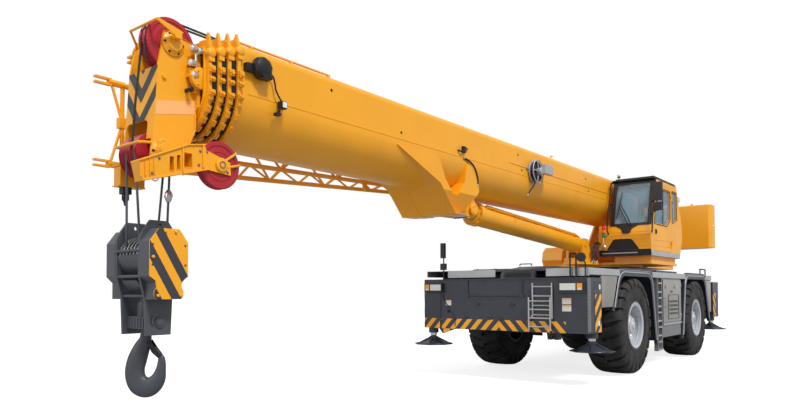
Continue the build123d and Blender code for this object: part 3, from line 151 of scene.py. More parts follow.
@dataclass(frozen=True)
class Finish:
    """One procedural surface.

    Args:
        name: the material's name.
        colour: linear base colour.
        slot: the record's material slot that it belongs to; not used.
        roughness: mean roughness.
        metallic: 0 for paint, 1 for bare metal.
        coat: strength of the clear coat.
        mottle: how far the colour drifts, as a share.
        scale: how many grains there are in a metre.
        relief: height of the grain as bump strength.
        grain: what breaks up the surface.
        dust: how much pale dust gathers in patches.
        alpha: how solid the surface is.
        glow: strength of its own light, for lenses.
        painted_shade_below: painted shade: the colour is painted dark where the piece is nearer to the
            crane's middle plane than this.
    """

    name: str
    colour: Colour
    slot: str = ""
    roughness: float = 0.4
    metallic: float = 0.0
    coat: float = 0.0
    mottle: float = 0.08
    scale: float = 6.0
    relief: float = 0.04
    grain: Grain = Grain.FINE
    dust: float = 0.0
    alpha: float = 1.0
    glow: float = 0.0
    painted_shade_below: float = 0.0

    DUST = (0.3, 0.26, 0.21, 1)
    # colour of the painted shade on inner sides
    SHADE = (0.012, 0.012, 0.014, 1)
    COAT_ROUGHNESS = 0.12
    DRIFT_SCALE = 1.7
    DUST_SCALE = 3.1
    WEAR_SCALE = 4.3

    def make(self) -> bpy.types.Material:
        """Builds the material, or returns the one already made."""
        known = bpy.data.materials.get(self.name)
        if known is not None:
            return known
        material = bpy.data.materials.new(self.name)
        material.use_nodes = True
        nodes = Nodes(material.node_tree)
        where = nodes.add("TexCoord", {}, "Object")
        inputs = {"Metallic": self.metallic, "Coat Weight": self.coat, "Coat Roughness": self.COAT_ROUGHNESS,
                  "Alpha": self.alpha, "Base Color": self._drifting_colour(nodes, where),
                  "Roughness": self._worn_roughness(nodes, where)}
        if self.glow:
            inputs |= {"Emission Color": (*self.colour, 1), "Emission Strength": self.glow}
        if self.grain is not Grain.PLAIN:
            inputs["Normal"] = self._relief(nodes, where)
        nodes.feed(nodes.tree.nodes["Principled BSDF"], inputs)
        return material

    def _drifting_colour(self, nodes: Nodes, where: Socket) -> Socket:
        """The base colour with its slow drift, with dust, and with painted shade on the inner side where
        asked.

        Args:
            nodes: the material's nodes.
            where: the place on the piece.

        Returns:
            The colour.
        """
        darker = tuple(c * (1 - self.mottle) for c in self.colour)
        lighter = tuple(min(1.0, c * (1 + self.mottle)) for c in self.colour)
        colour = nodes.ramp(nodes.noise(where, self.DRIFT_SCALE), (0.35, darker), (0.65, lighter))
        if self.dust:
            patch = nodes.ramp(nodes.noise(where, self.DUST_SCALE, 6.0), (0.45, (0, 0, 0)),
                               (0.75, (self.dust,) * 3))
            colour = nodes.add("Mix", {"B": self.DUST, "Factor": patch, "A": colour}, "Result",
                               data_type="RGBA")
        # painted shade: close to the middle plane the colour is mixed to near-black, standing in for the
        # shade inside the rims
        if self.painted_shade_below:
            parts = nodes.add("SeparateXYZ", {"Vector": where}, "Y")
            away = nodes.add("Math", {0: parts}, "Value", operation="ABSOLUTE")
            step = nodes.add("MapRange", {"From Min": self.painted_shade_below - 0.01,
                "From Max": self.painted_shade_below + 0.01, "Value": away}, "Result")
            colour = nodes.add("Mix", {"A": self.SHADE, "Factor": step, "B": colour}, "Result",
                               data_type="RGBA")
        return colour

    def _worn_roughness(self, nodes: Nodes, where: Socket) -> Socket:
        """Roughness that drifts a little from place to place."""
        low, high = max(0.02, self.roughness * 0.82), min(1.0, self.roughness * 1.18)
        return nodes.ramp(nodes.noise(where, self.WEAR_SCALE), (0.3, (low,) * 3), (0.7, (high,) * 3))

    def _relief(self, nodes: Nodes, where: Socket) -> Socket:
        """Bump of the finish's grain.

        Args:
            nodes: the material's nodes.
            where: the place on the piece.

        Returns:
            The normal.
        """
        inputs = {"Vector": where, "Scale": self.scale}
        if self.grain is Grain.CHECKER:
            height = nodes.add("TexVoronoi", inputs | {"Randomness": 0.0}, "Distance")
        elif self.grain is Grain.ROPE:
            height = nodes.add("TexWave", inputs, "Fac", wave_type="BANDS", bands_direction="DIAGONAL")
        elif self.grain is Grain.WOVEN:
            height = nodes.add("TexMagic", inputs, "Fac", turbulence_depth=1)
        elif self.grain is Grain.BRUSHED:
            stretched = nodes.add("Mapping", {"Vector": where, "Scale": (1.0, 1.0, 30.0)}, "Vector")
            height = nodes.noise(stretched, self.scale)
        else:
            height = nodes.noise(where, self.scale, 3.0)
        return nodes.add("Bump", {"Strength": self.relief, "Distance": 0.01, "Height": height}, "Normal")


class Coat:
    """The crane's finishes by name."""

    ORANGE = Finish("crane_orange", (0.9, 0.385, 0.006), "crane_paint", 0.38, coat=0.12, mottle=0.03,
                    scale=90, relief=0.015)
    SLATE = Finish("carrier_slate", (0.029, 0.034, 0.05), "carrier_paint", 0.42, coat=0.12, scale=80,
                   relief=0.02)
    STRIPE = Finish("stripe_grey", (0.036, 0.04, 0.052), "", 0.45, mottle=0.04, scale=80, relief=0.01)
    BAND = Finish("reflector_peach", (0.95, 0.47, 0.17), "", 0.38, mottle=0.02, scale=120, relief=0.01)
    BLOCK_GREY = Finish("block_grey", (0.062, 0.068, 0.084), "hook_steel", 0.45, coat=0.1, scale=60,
                        relief=0.03)
    PANEL = Finish("panel_grey", (0.17, 0.175, 0.185), "light_grey_paint", 0.22, 0.5, 0.3, scale=40,
                   relief=0.02)
    MIRROR = Finish("mirror_panel", (0.44, 0.42, 0.39), "", 0.13, 0.92, 0.2, 0.12, 14, 0.02)
    TREAD_PLATE = Finish("tread_plate", (0.3, 0.31, 0.33), "light_grey_paint", 0.38, 0.6, scale=28,
        relief=0.25, grain=Grain.CHECKER)
    # painted shade: the wheel silver turns near-black within 1.16 m of the middle plane, on the rims' inner
    # sides
    SILVER = Finish("wheel_silver", (0.56, 0.58, 0.62), "silver_paint", 0.36, 0.35, mottle=0.05, scale=70,
                    relief=0.02, painted_shade_below=1.16)
    LIGHT = Finish("light_grey", (0.46, 0.47, 0.49), "light_grey_paint", 0.36, 0.4, mottle=0.05, scale=70,
                   relief=0.02)
    ALUMINIUM = Finish("ladder_aluminium", (0.62, 0.63, 0.66), "light_grey_paint", 0.3, 0.7, mottle=0.05,
                       scale=30, relief=0.05, grain=Grain.BRUSHED)
    BLACK = Finish("satin_black", (0.006, 0.006, 0.009), "black_paint", 0.42, mottle=0.1, scale=90,
                   relief=0.03)
    RED = Finish("sheave_red", (0.4, 0.012, 0.024), "red_paint", 0.46, mottle=0.06, scale=50)
    CAST = Finish("cast_grey", (0.03, 0.032, 0.038), "cast_grey", 0.6, mottle=0.12, scale=110, relief=0.12)
    HOOK = Finish("hook_grey", (0.046, 0.051, 0.063), "hook_steel", 0.44, mottle=0.14, scale=60, relief=0.1)
    CHROME = Finish("polished_rod", (0.72, 0.73, 0.75), "chrome_rod", 0.12, 1.0, mottle=0.02,
                    grain=Grain.PLAIN)
    RUBBER = Finish("tyre_rubber", (0.012, 0.011, 0.012), "rubber", 0.68, mottle=0.15, scale=160,
                    relief=0.12, dust=0.12)
    TRIM = Finish("cab_trim", (0.03, 0.03, 0.033), "cab_trim", 0.7, mottle=0.1, scale=200, relief=0.1)
    FABRIC = Finish("seat_fabric", (0.055, 0.056, 0.062), "cab_trim", 0.85, mottle=0.12, scale=420,
                    relief=0.25, grain=Grain.WOVEN)
    GLASS = Finish("tinted_glass", (0.22, 0.41, 0.54), "glass", 0.04, mottle=0.02, alpha=0.42,
                   grain=Grain.PLAIN)
    WIRE = Finish("rope_wire", (0.04, 0.03, 0.026), "hook_steel", 0.55, 0.4, mottle=0.15, scale=140,
                  relief=0.4, grain=Grain.ROPE)
    WHITE = Finish("label_white", (0.74, 0.74, 0.73), "", 0.5, mottle=0.03, scale=60, relief=0.01)
    TRIM_BRIGHT = Finish("bright_trim", (0.6, 0.61, 0.62), "light_grey_paint", 0.2, 0.85, mottle=0.04,
        scale=50, relief=0.02)
    LENS_RED = Finish("lens_red", (0.75, 0.012, 0.012), "", 0.15, mottle=0.03, scale=120, relief=0.05,
                      glow=0.25)
    LENS_AMBER = Finish("lens_amber", (0.8, 0.13, 0.004), "", 0.15, mottle=0.03, scale=120, relief=0.05,
                        glow=0.2)
    LENS_GREEN = Finish("lens_green", (0.01, 0.25, 0.12), "", 0.15, mottle=0.03, scale=120, relief=0.05)
    LENS_CLEAR = Finish("lens_clear", (0.75, 0.78, 0.8), "", 0.08, mottle=0.03, scale=120, relief=0.08)


# the finishes of the fixed frame by the first words of its nodes' names; all other nodes are orange
NODE_COATS: tuple[tuple[Finish, tuple[str, ...]], ...] = (
    (Coat.SLATE, ("carrier_frame", "deck", "front_hood", "engine_hood", "outrigger_beam", "jack_leg")),
    (Coat.CAST, ("engine_block", "front_axle", "rear_axle", "knuckle")), (Coat.PANEL, ("side_cabinets",)),
    (Coat.BLACK, ("carrier_rails", "cab_fittings")), (Coat.GLASS, ("cab_glass", "door_glass")),
    (Coat.ALUMINIUM, ("ladders",)), (Coat.LIGHT, ("winches",)), (Coat.TRIM, ("cab_interior",)),
    (Coat.RED, ("head_sheaves",)), (Coat.CHROME, ("luff_rod",)), (Coat.BLOCK_GREY, ("hook_block",)),
    (Coat.HOOK, ("hook",)), (Coat.SILVER, ("rim",)), (Coat.RUBBER, ("tyre",)))


# ---------------------------------------------------------------- drawing kit

MID_X = -3.38
AXES: dict[str, tuple[Point, Point, Point]] = {"x": ((0, 1, 0), (0, 0, 1), (1, 0, 0)),
    "y": ((0, 0, 1), (1, 0, 0), (0, 1, 0)), "z": ((1, 0, 0), (0, 1, 0), (0, 0, 1)),}


def side_name(side: int) -> str:
    """The word for a side: 1 is left, -1 is right."""
    return "left" if side > 0 else "right"


def sided(side: int, low: float, high: float) -> Flat:
    """A span across one side of the crane, between two distances from its middle plane."""
    return tuple(sorted((side * low, side * high)))


def about(middle: float, half: float) -> Flat:
    """A span about its middle."""
    return (middle - half, middle + half)


def even(count: int, start: float = 0.0) -> list[float]:
    """Angles at even steps round a circle."""
    return [start + 2 * pi * number / count for number in range(count)]


def circle(centre: Sequence[float], axis: str, reach: float, angles: Iterable[float]) -> list[Point]:
    """Places round a centre, square to an axis.

    Args:
        centre: the middle.
        axis: "x", "y" or "z".
        reach: distance from the middle.
        angles: where the places are, counted from x, or from y round the axis x.

    Returns:
        The places.
    """
    x, y, z = centre
    turns = [(reach * cos(angle), reach * sin(angle)) for angle in angles]
    return [{"x": (x, y + a, z + b), "y": (x + a, y, z + b), "z": (x + a, y + b, z)}[axis] for a, b in turns]


def squared(angle: float, power: float) -> Flat:
    """Cosine and sine of an angle, on a circle that is squared off by a power below 1."""
    return tuple(copysign(abs(value) ** power, value) for value in (cos(angle), sin(angle)))


def passing(a: Any, b: Any, c: Any, d: Any, share: float) -> Any:
    """The value at a share of the way from b to c on a smooth line through four values or vectors."""
    bend = (2 * a - 5 * b + 4 * c - d) * share * share + (3 * b - a - 3 * c + d) * share ** 3
    return 0.5 * (2 * b + (c - a) * share + bend)


def softened(corners: Spots, radius: float, closed: bool = True, steps: int = 5) -> list[tuple]:
    """Rounds the corners of an outline or a pipe's run.

    Args:
        corners: flat or spatial points.
        radius: how far from each corner its curve starts.
        closed: whether the last point joins the first.
        steps: parts of each curve.

    Returns:
        The points of the rounded line.
    """
    spots = [Vector(corner) for corner in corners]
    out: list[tuple] = []
    for index, spot in enumerate(spots):
        if not closed and index in (0, len(spots) - 1):
            out.append(tuple(spot))
            continue
        back = spots[index - 1] - spot
        ahead = spots[(index + 1) % len(spots)] - spot
        cut = min(radius, back.length * 0.48, ahead.length * 0.48)
        start, end = spot + back.normalized() * cut, spot + ahead.normalized() * cut
        for step in range(steps + 1):
            share = step / steps
            out.append(tuple(start * (1 - share) ** 2 + spot * (2 * share * (1 - share)) + end * share ** 2))
    return out


def clipped(outline: Sequence[Flat], normal: Flat, low: float, high: float) -> list[Flat]:
    """The part of an outline that lies between two parallel lines.

    Args:
        outline: flat points.
        normal: direction across the lines.
        low: distance of the first line along normal.
        high: distance of the second line.

    Returns:
        The points of the part, or an empty list.
    """
    across = Vector(normal).normalized()
    spots = [Vector(point) for point in outline]
    for sign, limit in ((1, low), (-1, high)):
        kept: list[Vector] = []
        for index, spot in enumerate(spots):
            before = spots[index - 1]
            far, near = sign * (before.dot(across) - limit), sign * (spot.dot(across) - limit)
            if (far >= 0) != (near >= 0):
                kept.append(before.lerp(spot, far / (far - near)))
            if near >= 0:
                kept.append(spot)
        spots = kept
        if len(spots) < 3:
            return []
    return [(spot.x, spot.y) for spot in spots]


class Shape:
    """One piece, drawn in metres with x measured from the middle of the wheelbase."""

    def __init__(self, name: str, coat: Finish, body: str, bevel: float = 0.0, smooth: float = 35.0,
                 replaced: str = "") -> None:
        """Starts an empty piece.

        Args:
            name: the piece's name.
            coat: its finish.
            body: the CAD body that it moves with.
            bevel: width of its edge rounding, or 0.
            smooth: angle in degrees below which faces shade as one.
            replaced: the CAD node that the piece stands for, if any.
        """
        self.name, self.coat, self.body, self.replaced = name, coat, body, replaced
        self.bevel, self.smooth = bevel, smooth
        self.mesh = bmesh.new()

    def loft(self, rings: Sequence[Spots], caps: bool = True) -> Shape:
        """Skins equal closed rings one after the other.

        Args:
            rings: the rings' points.
            caps: whether the first and last ring are filled.

        Returns:
            The piece.
        """
        made = [[self.mesh.verts.new((p[0] + MID_X, p[1], p[2])) for p in ring] for ring in rings]
        for first, second in zip(made, made[1:]):
            for index in range(len(first)):
                after = (index + 1) % len(first)
                self.mesh.faces.new((first[index], first[after], second[after], second[index]))
        if caps:
            self.mesh.faces.new(made[0])
            self.mesh.faces.new(made[-1])
        return self

    def slab(self, points: Spots, push: Sequence[float]) -> Shape:
        """A spatial outline given a thickness by the vector push."""
        return self.loft([points, [tuple(Vector(p) + Vector(push)) for p in points]])

    def strip(self, line: Sequence[Flat], y: Flat, push: Sequence[float]) -> Shape:
        """Flat bars along a line.

        Args:
            line: the line's (x, z) points.
            y: where the bars start and end across it.
            push: their thickness as a vector.

        Returns:
            The piece.
        """
        for (x0, z0), (x1, z1) in zip(line, line[1:]):
            self.slab([(x0, y[0], z0), (x1, y[0], z1), (x1, y[1], z1), (x0, y[1], z0)], push)
        return self

    def plate(self, outline: Sequence[Flat], axis: str, span: Flat) -> Shape:
        """A flat outline with a thickness across an axis.

        Args:
            outline: (y, z) for the axis x, (x, z) for y or (x, y) for z.
            axis: "x", "y" or "z".
            span: where it starts and ends along the axis.

        Returns:
            The piece.
        """
        return self.loft([[{"x": (level, a, b), "y": (a, level, b), "z": (a, b, level)}[axis]
                           for a, b in outline] for level in span])

    def block(self, x: Flat, y: Flat, z: Flat) -> Shape:
        """A box between pairs."""
        return self.plate([(x[0], y[0]), (x[1], y[0]), (x[1], y[1]), (x[0], y[1])], "z", z)

    def blocks(self, *boxes: tuple[Flat, Flat, Flat]) -> Shape:
        """Several boxes."""
        for box in boxes:
            self.block(*box)
        return self

    def lathe(self, centre: Sequence[float], axis: str | Sequence[float], profile: Sequence[Flat],
              sides: int = 24, caps: bool = True) -> Shape:
        """A turned form.

        Args:
            centre: the start of its axis.
            axis: "x", "y", "z" or a direction.
            profile: radius and place along the axis of each ring.
            sides: how many sides it has.
            caps: whether its ends are filled.

        Returns:
            The piece.
        """
        if isinstance(axis, str):
            side, up, along = (Vector(v) for v in AXES[axis])
        else:
            along = Vector(axis).normalized()
            side = along.orthogonal().normalized()
            up = along.cross(side)
        spokes = [side * cos(angle) + up * sin(angle) for angle in even(sides)]
        return self.loft([[Vector(centre) + along * place + spoke * max(radius, 0.0004) for spoke in spokes]
                          for radius, place in profile], caps)

    def disc(self, centre: Sequence[float], axis: str | Sequence[float], radius: float, height: float,
             sides: int = 24) -> Shape:
        """A plain cylinder."""
        return self.lathe(centre, axis, [(radius, 0), (radius, height)], sides)

    def hoop(self, centre: Sequence[float], axis: str | Sequence[float], radius: float, thick: float,
             sides: int = 32, facets: int = 6) -> Shape:
        """A closed ring of round bar."""
        profile = [(radius + thick * cos(angle), thick * sin(angle)) for angle in even(facets)]
        return self.lathe(centre, axis, profile + profile[:1], sides, caps=False)

    def ball(self, centre: Sequence[float], radius: float, sides: int = 16) -> Shape:
        """A ball."""
        turns = [pi * number / 8 for number in range(9)]
        return self.lathe(centre, "z", [(radius * sin(turn), -radius * cos(turn)) for turn in turns], sides)

    def bolts(self, axis: str | Sequence[float], radius: float, height: float,
              *centres: Sequence[float]) -> Shape:
        """Six-sided bolt heads on washers.

        Args:
            axis: "x", "y", "z" or a direction.
            radius: half of a head's width.
            height: a head's height.
            centres: the feet of the heads.

        Returns:
            The piece.
        """
        for centre in centres:
            self.disc(centre, axis, radius * 1.35, height * 0.25, 12)
            self.lathe(centre, axis, [(radius, height * 0.2), (radius, height * 0.85),
                (radius * 0.8, height)], 6)
        return self

    def tube(self, points: Spots, radius: float, sides: int = 10, bend: float = 0.0) -> Shape:
        """A round bar or pipe along a line.

        Args:
            points: the line.
            radius: half of its thickness.
            sides: how many sides it has.
            bend: how far from each corner its bend starts, or 0.

        Returns:
            The piece.
        """
        if bend:
            points = softened(points, bend, closed=False)
        spots = [Vector(p) for p in points]
        spots = [spot for index, spot in enumerate(spots) if not index
                 or (spot - spots[index - 1]).length > 1e-5]
        runs = [(b - a).normalized() for a, b in zip(spots, spots[1:])]
        side = runs[0].orthogonal().normalized()
        rings = []
        for index, spot in enumerate(spots):
            heading = (runs[max(index - 1, 0)] + runs[min(index, len(runs) - 1)]).normalized()
            side = (side - heading * side.dot(heading)).normalized()
            up = heading.cross(side)
            rings.append([spot + side * (radius * cos(angle)) + up * (radius * sin(angle))
                          for angle in even(sides)])
        return self.loft(rings)

    def make(self) -> bpy.types.Object:
        """Turns the drawing into an object that rides on its body.

        Returns:
            The new object.
        """
        bmesh.ops.recalc_face_normals(self.mesh, faces=self.mesh.faces)
        data = bpy.data.meshes.new(self.name)
        self.mesh.to_mesh(data)
        self.mesh.free()
        for face in data.polygons:
            face.use_smooth = True
        data.set_sharp_from_angle(angle=radians(self.smooth))
        data.materials.append(self.coat.make())
        piece = bpy.data.objects.new(self.name, data)
        bpy.context.scene.collection.objects.link(piece)
        if self.bevel:
            edge = piece.modifiers.new("edge", "BEVEL")
            edge.width = self.bevel
            edge.segments = 2
            edge.limit_method = "ANGLE"
            edge.angle_limit = radians(40)
        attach(piece, self.body)
        if self.replaced:
            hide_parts(self.replaced)
        LOG.info("piece %s on %s", self.name, self.body)
        return piece


def stripes(shape: Shape, outline: Sequence[Flat], axis: str, span: Flat, slope_deg: float,
            pitch: float) -> None:
    """Adds slanting stripes, half as wide as their pitch and cut to an outline.

    Args:
        shape: the piece that takes them.
        outline: the flat outline that they stay in.
        axis: the axis across the outline.
        span: where the stripes start and end along the axis.
        slope_deg: angle of the stripes in the outline's plane.
        pitch: distance from stripe to stripe, square to them.
    """
    normal = (-sin(radians(slope_deg)), cos(radians(slope_deg)))
    reach = [normal[0] * a + normal[1] * b for a, b in outline]
    for number in range(floor(min(reach) / pitch) - 1, ceil(max(reach) / pitch)):
        part = clipped(outline, normal, number * pitch, (number + 0.5) * pitch)
        if part:
            shape.plate(part, axis, span)


def leaning(shape: Shape, x: Flat, starts: Iterable[float], way: int, window: Flat) -> None:
    """Adds the leaning stripes of the bands along the foot of the front and the back.

    Args:
        shape: the piece that takes them.
        x: where the stripes start and end along x.
        starts: y of each stripe's foot.
        way: 1 where the feet widen towards the left and the tops lean to the right, -1 the other way.
        window: the nearest and farthest y, counted in the direction of way, that a stripe may cover.
    """
    wide, tilt, low, high = 0.105, 0.165, 0.872, 1.055
    for y in starts:
        arm = [(y, low), (y + way * wide, low), (y + way * (wide - tilt), high), (y - way * tilt, high)]
        part = clipped(arm, (way, 0), *window)
        if part:
            shape.plate(part, "x", x)


def hose(name: str, coat: Finish, body: str, points: Sequence[Point], diameter: float) -> bpy.types.Object:
    """A free hose or cable on one smooth line through points, with a fitting at both ends.

    Args:
        name: the piece's name.
        coat: its finish.
        body: the CAD body that it rides on.
        points: what it passes through, from its exit to where it goes back into the crane.
        diameter: its outer diameter.

    Returns:
        The hose's piece.
    """
    parts = 6
    spots = [Vector(point) for point in points]
    spots = [spots[0] * 2 - spots[1], *spots, spots[-1] * 2 - spots[-2]]
    line = [passing(*four, step / parts) for four in zip(spots, spots[1:], spots[2:], spots[3:])
            for step in range(parts)] + [spots[-2]]
    piece = Shape(name, coat, body, smooth=60).tube(line, diameter / 2, 12).make()
    ends = Shape(f"{name}_ends", Coat.TRIM_BRIGHT, body)
    for end, after in ((line[0], line[1]), (line[-1], line[-2])):
        ends.lathe(end, after - end, [(diameter * 0.62, -0.006), (diameter * 0.62, diameter * 0.7),
            (diameter * 0.54, diameter * 0.9)], 12)
    ends.make()
    return piece


class Assembly:
    """What the sub-assemblies share: their pieces are drawn first, and made when all are there."""

    body = "carrier"

    def build(self) -> None:
        """Draws the pieces and makes them."""
        self.drawn: list[Shape] = []
        self.draw()
        for piece in self.drawn:
            piece.make()

    def draw(self) -> None:
        """Draws the pieces, which each sub-assembly does in its own way."""
        raise NotImplementedError

    def piece(self, name: str, coat: Finish, bevel: float = 0.0, **more: Any) -> Shape:
        """Starts a piece on the sub-assembly's own body, or on another one.

        Args:
            name: the piece's name.
            coat: its finish.
            bevel: width of its edge rounding, or 0.
            more: the other arguments of Shape.

        Returns:
            The empty piece.
        """
        self.drawn.append(Shape(name, coat, bevel=bevel, **({"body": self.body} | more)))
        return self.drawn[-1]

    def striped_cover(self, names: tuple[str, str], x: Flat, z: Flat, side: int, body: str,
                      slope_deg: float) -> None:
        """Lays a dark cover with orange stripes on the side of an outrigger's box.

        Args:
            names: the cover's and the stripes' names.
            x: the cover's span along x.
            z: its span in height.
            side: 1 for the left side, -1 for the right.
            body: the CAD body that it rides on.
            slope_deg: angle of the stripes.
        """
        cover, marks = names
        area = [(x[0], z[0]), (x[1], z[0]), (x[1], z[1]), (x[0], z[1])]
        self.piece(cover, Coat.STRIPE, 0.001, body=body).plate(area, "y", sided(side, 1.5905, 1.5925))
        stripes(self.piece(marks, Coat.ORANGE, body=body), area, "y", sided(side, 1.5925, 1.5945), slope_deg,
                0.19)


# ---------------------------------------------------------------- boom


@dataclass
class BoomHead(Assembly):
    """Markings, lamps, ropes and small fittings of the boom's head."""

    side_y: float = 0.251
    upper_pin: Flat = (11.1, 3.88)
    lower_pin: Flat = (11.2, 2.84)
    # (z, x) of the sloping front cover, from its top to its foot
    cover_line: tuple[Flat, ...] = ((3.65, 11.25), (3.32, 11.27), (3.15, 11.285))
    chevron_first: float = 3.738
    chevron_pitch: float = 0.276
    chevron_depth: float = 0.13
    chevron_rise: float = 1.2
    window_top: float = 3.155
    window_corner: float = 0.07
    rope_radius: float = 0.011
    # depth inside the rim and height of each raised ring's corners
    sheave_rings: tuple[tuple[Flat, ...], ...] = (
        ((0.006, 0.0), (0.01, 0.008), (0.04, 0.008), (0.046, 0.0)),
        ((0.075, 0.0), (0.08, 0.005), (0.105, 0.005), (0.11, 0.0)))
    # middle of each lamp's face
    lamp_spots: tuple[Point, ...] = (
        (10.945, 0.34, 3.868), (10.865, 0.34, 3.862), (10.962, 0.34, 3.725), (10.932, 0.34, 3.618))
    body: str = "head"

    def cover_x(self, z: float) -> float:
        """X of the sloping front cover at a height.

        Args:
            z: the height.

        Returns:
            The place along x.
        """
        (z0, x0), (z1, x1), (z2, x2) = self.cover_line
        if z > z1:
            return x1 + (x0 - x1) * (z - z1) / (z0 - z1)
        return x2 + (x1 - x2) * (z - z2) / (z1 - z2)

    def chevrons(self) -> None:
        """Three dark arrows that point down the cover."""
        shape = self.piece("head_chevrons", Coat.STRIPE)
        half = self.side_y - 0.006
        rise = half * self.chevron_rise
        for number in range(3):
            apex = self.chevron_first - number * self.chevron_pitch
            foot = apex - self.chevron_depth
            for side in SIDES:
                arm = [(0, apex), (side * half, apex + rise), (side * half, foot + rise), (0, foot)]
                for low, high in ((3.152, 3.32), (3.32, 3.647)):
                    part = clipped(arm, (0, 1), low, high)
                    if part:
                        shape.slab([(self.cover_x(z) + 0.0005, y, z) for y, z in part], (0.003, 0, 0))

    def side_marks(self) -> None:
        """Pale reflector bands on both side plates."""
        shape = self.piece("head_bands", Coat.BAND)
        for side in SIDES:
            shape.plate([(11.268, 3.31), (10.86, 3.395), (10.862, 3.264), (11.274, 3.182)], "y",
                        (side * (self.side_y + 0.0005), side * (self.side_y + 0.0025)))

    def window(self) -> None:
        """Rounded upper corners of the window over the lower sheaves."""
        shape = self.piece("head_window_rim", Coat.ORANGE, 0.002)
        top, reach = self.window_top, self.window_corner
        for side, edge in ((-1, -0.227), (1, 0.15)):
            turns = [radians(15 * step) for step in range(7)]
            arc = [(edge - side * reach * (1 - sin(turn)), top - reach * (1 - cos(turn))) for turn in turns]
            shape.plate([(edge, top), *arc], "x", (11.263, 11.287))

    def plate_fittings(self) -> None:
        """Pins, eyes, ribs and bolts on the side plates."""
        shape = self.piece("head_plate_fittings", Coat.ORANGE, 0.003)
        (upper_x, upper_z), (lower_x, lower_z) = self.upper_pin, self.lower_pin
        flange = [(11.19, 3.985), (10.84, 3.94), (10.85, 3.11), (10.91, 2.97), (11.03, 2.705)]
        for side in SIDES:
            face = side * self.side_y
            axis = (0, side, 0)
            shape.lathe((upper_x, face, upper_z), axis, [(0.115, 0), (0.115, 0.016), (0.095, 0.024),
                (0.07, 0.05)], 28)
            shape.lathe((lower_x, face, lower_z), axis, [(0.125, 0), (0.125, 0.014), (0.1, 0.02),
                (0.075, 0.045)], 28)
            shape.disc((11.19, face, 3.55), axis, 0.022, 0.02, 12)
            for (x0, z0), (x1, z1) in zip(flange, flange[1:]):
                shape.slab([(x0, face, z0), (x1, face, z1), (x1 + 0.014, face, z1), (x0 + 0.014, face, z0)],
                           (0, side * 0.012, 0))
        shape.lathe((11.2, 0.262, 2.89), "y", [(0.075, 0), (0.075, 0.034), (0.068, 0.04)], 24)
        shape.blocks(((10.86, 10.95), (0.25, 0.31), (3.72, 3.76)),
                     ((10.9, 10.96), (0.25, 0.33), (3.6, 3.68)), ((10.86, 10.9), (0.25, 0.3), (3.46, 3.53)),
                     ((10.87, 10.91), (0.25, 0.335), (3.82, 3.9)))
        pins = self.piece("head_pins", Coat.BLACK, 0.002)
        pins.tube([(10.955, 0.25, 3.475), (10.955, 0.33, 3.475)], 0.02)
        pins.lathe((10.955, 0.33, 3.475), "y", [(0.028, 0), (0.028, 0.012), (0.012, 0.02)], 16)
        pins.bolts((0, 1, 0), 0.012, 0.014, *circle((upper_x, 0.269, upper_z), "y", 0.092, even(6)),
                   *circle((lower_x, 0.267, lower_z), "y", 0.1, even(6)))

    def lamps(self) -> None:
        """A bar with four silver work lamps at the upper rear edge of the left plate."""
        shape = self.piece("head_work_lamps", Coat.TRIM_BRIGHT)
        glass = self.piece("head_lamp_lenses", Coat.LENS_CLEAR)
        for x, y, z in self.lamp_spots:
            shape.lathe((x - 0.012, y, z), "x", [(0.008, -0.045), (0.026, -0.035), (0.034, -0.008),
                (0.036, 0.02), (0.03, 0.022)], 20)
            shape.tube([(x - 0.03, y, z), (10.9, y - 0.01, z - 0.005)], 0.007)
            glass.lathe((x + 0.01, y, z), "x", [(0.029, 0), (0.024, 0.008), (0.0, 0.012)], 20)
        shape.tube([(10.9, 0.33, 3.86), (10.895, 0.33, 3.61)], 0.013)
        for z in (3.74, 3.64):
            shape.tube([(10.898, 0.33, z), (10.898, 0.25, z)], 0.012)

    def ropes(self) -> None:
        """Hoist rope from the boom's top over the upper sheaves and down to the lower ones."""
        shape = self.piece("head_hoist_rope", Coat.WIRE)
        (x, z), reach = self.upper_pin, 0.241
        over = [(x + reach * sin(turn), z + reach * cos(turn)) for turn in map(radians, range(-6, 97, 6))]
        shape.tube([(10.5, 0.13, 4.105), *[(a, 0.121, b) for a, b in over], (11.378, 0.09, 3.3),
                    (11.396, 0.072, 2.88)], self.rope_radius)
        shape.tube([(10.5, 0.18, 4.105), *[(a, 0.19, b) for a, b in over[:15]], (11.352, 0.19, 3.75),
                    (11.33, 0.19, 3.66)], self.rope_radius)
        rings = self.piece("head_sheave_ropes", Coat.WIRE)
        for number in range(6):
            rings.hoop((11.2, (number - 2.5) * 0.048, 2.835), "y", 0.1895, 0.008, 40)

    def sheave_faces(self) -> None:
        """Raised rings on the faces of the upper and auxiliary sheaves."""
        rims = self.piece("head_sheave_faces", Coat.RED)
        for x, y, z, radius, out in ((11.1, 0.2215, 3.88, 0.255, 1), (11.1, 0.0895, 3.88, 0.255, -1),
                (10.738, 0.4865, 2.762, 0.229, 1), (10.738, 0.4235, 2.762, 0.229, -1)):
            for ring in self.sheave_rings:
                rims.lathe((x, y, z), (0, out, 0), [(radius - inset, height) for inset, height in ring], 44,
                           caps=False)

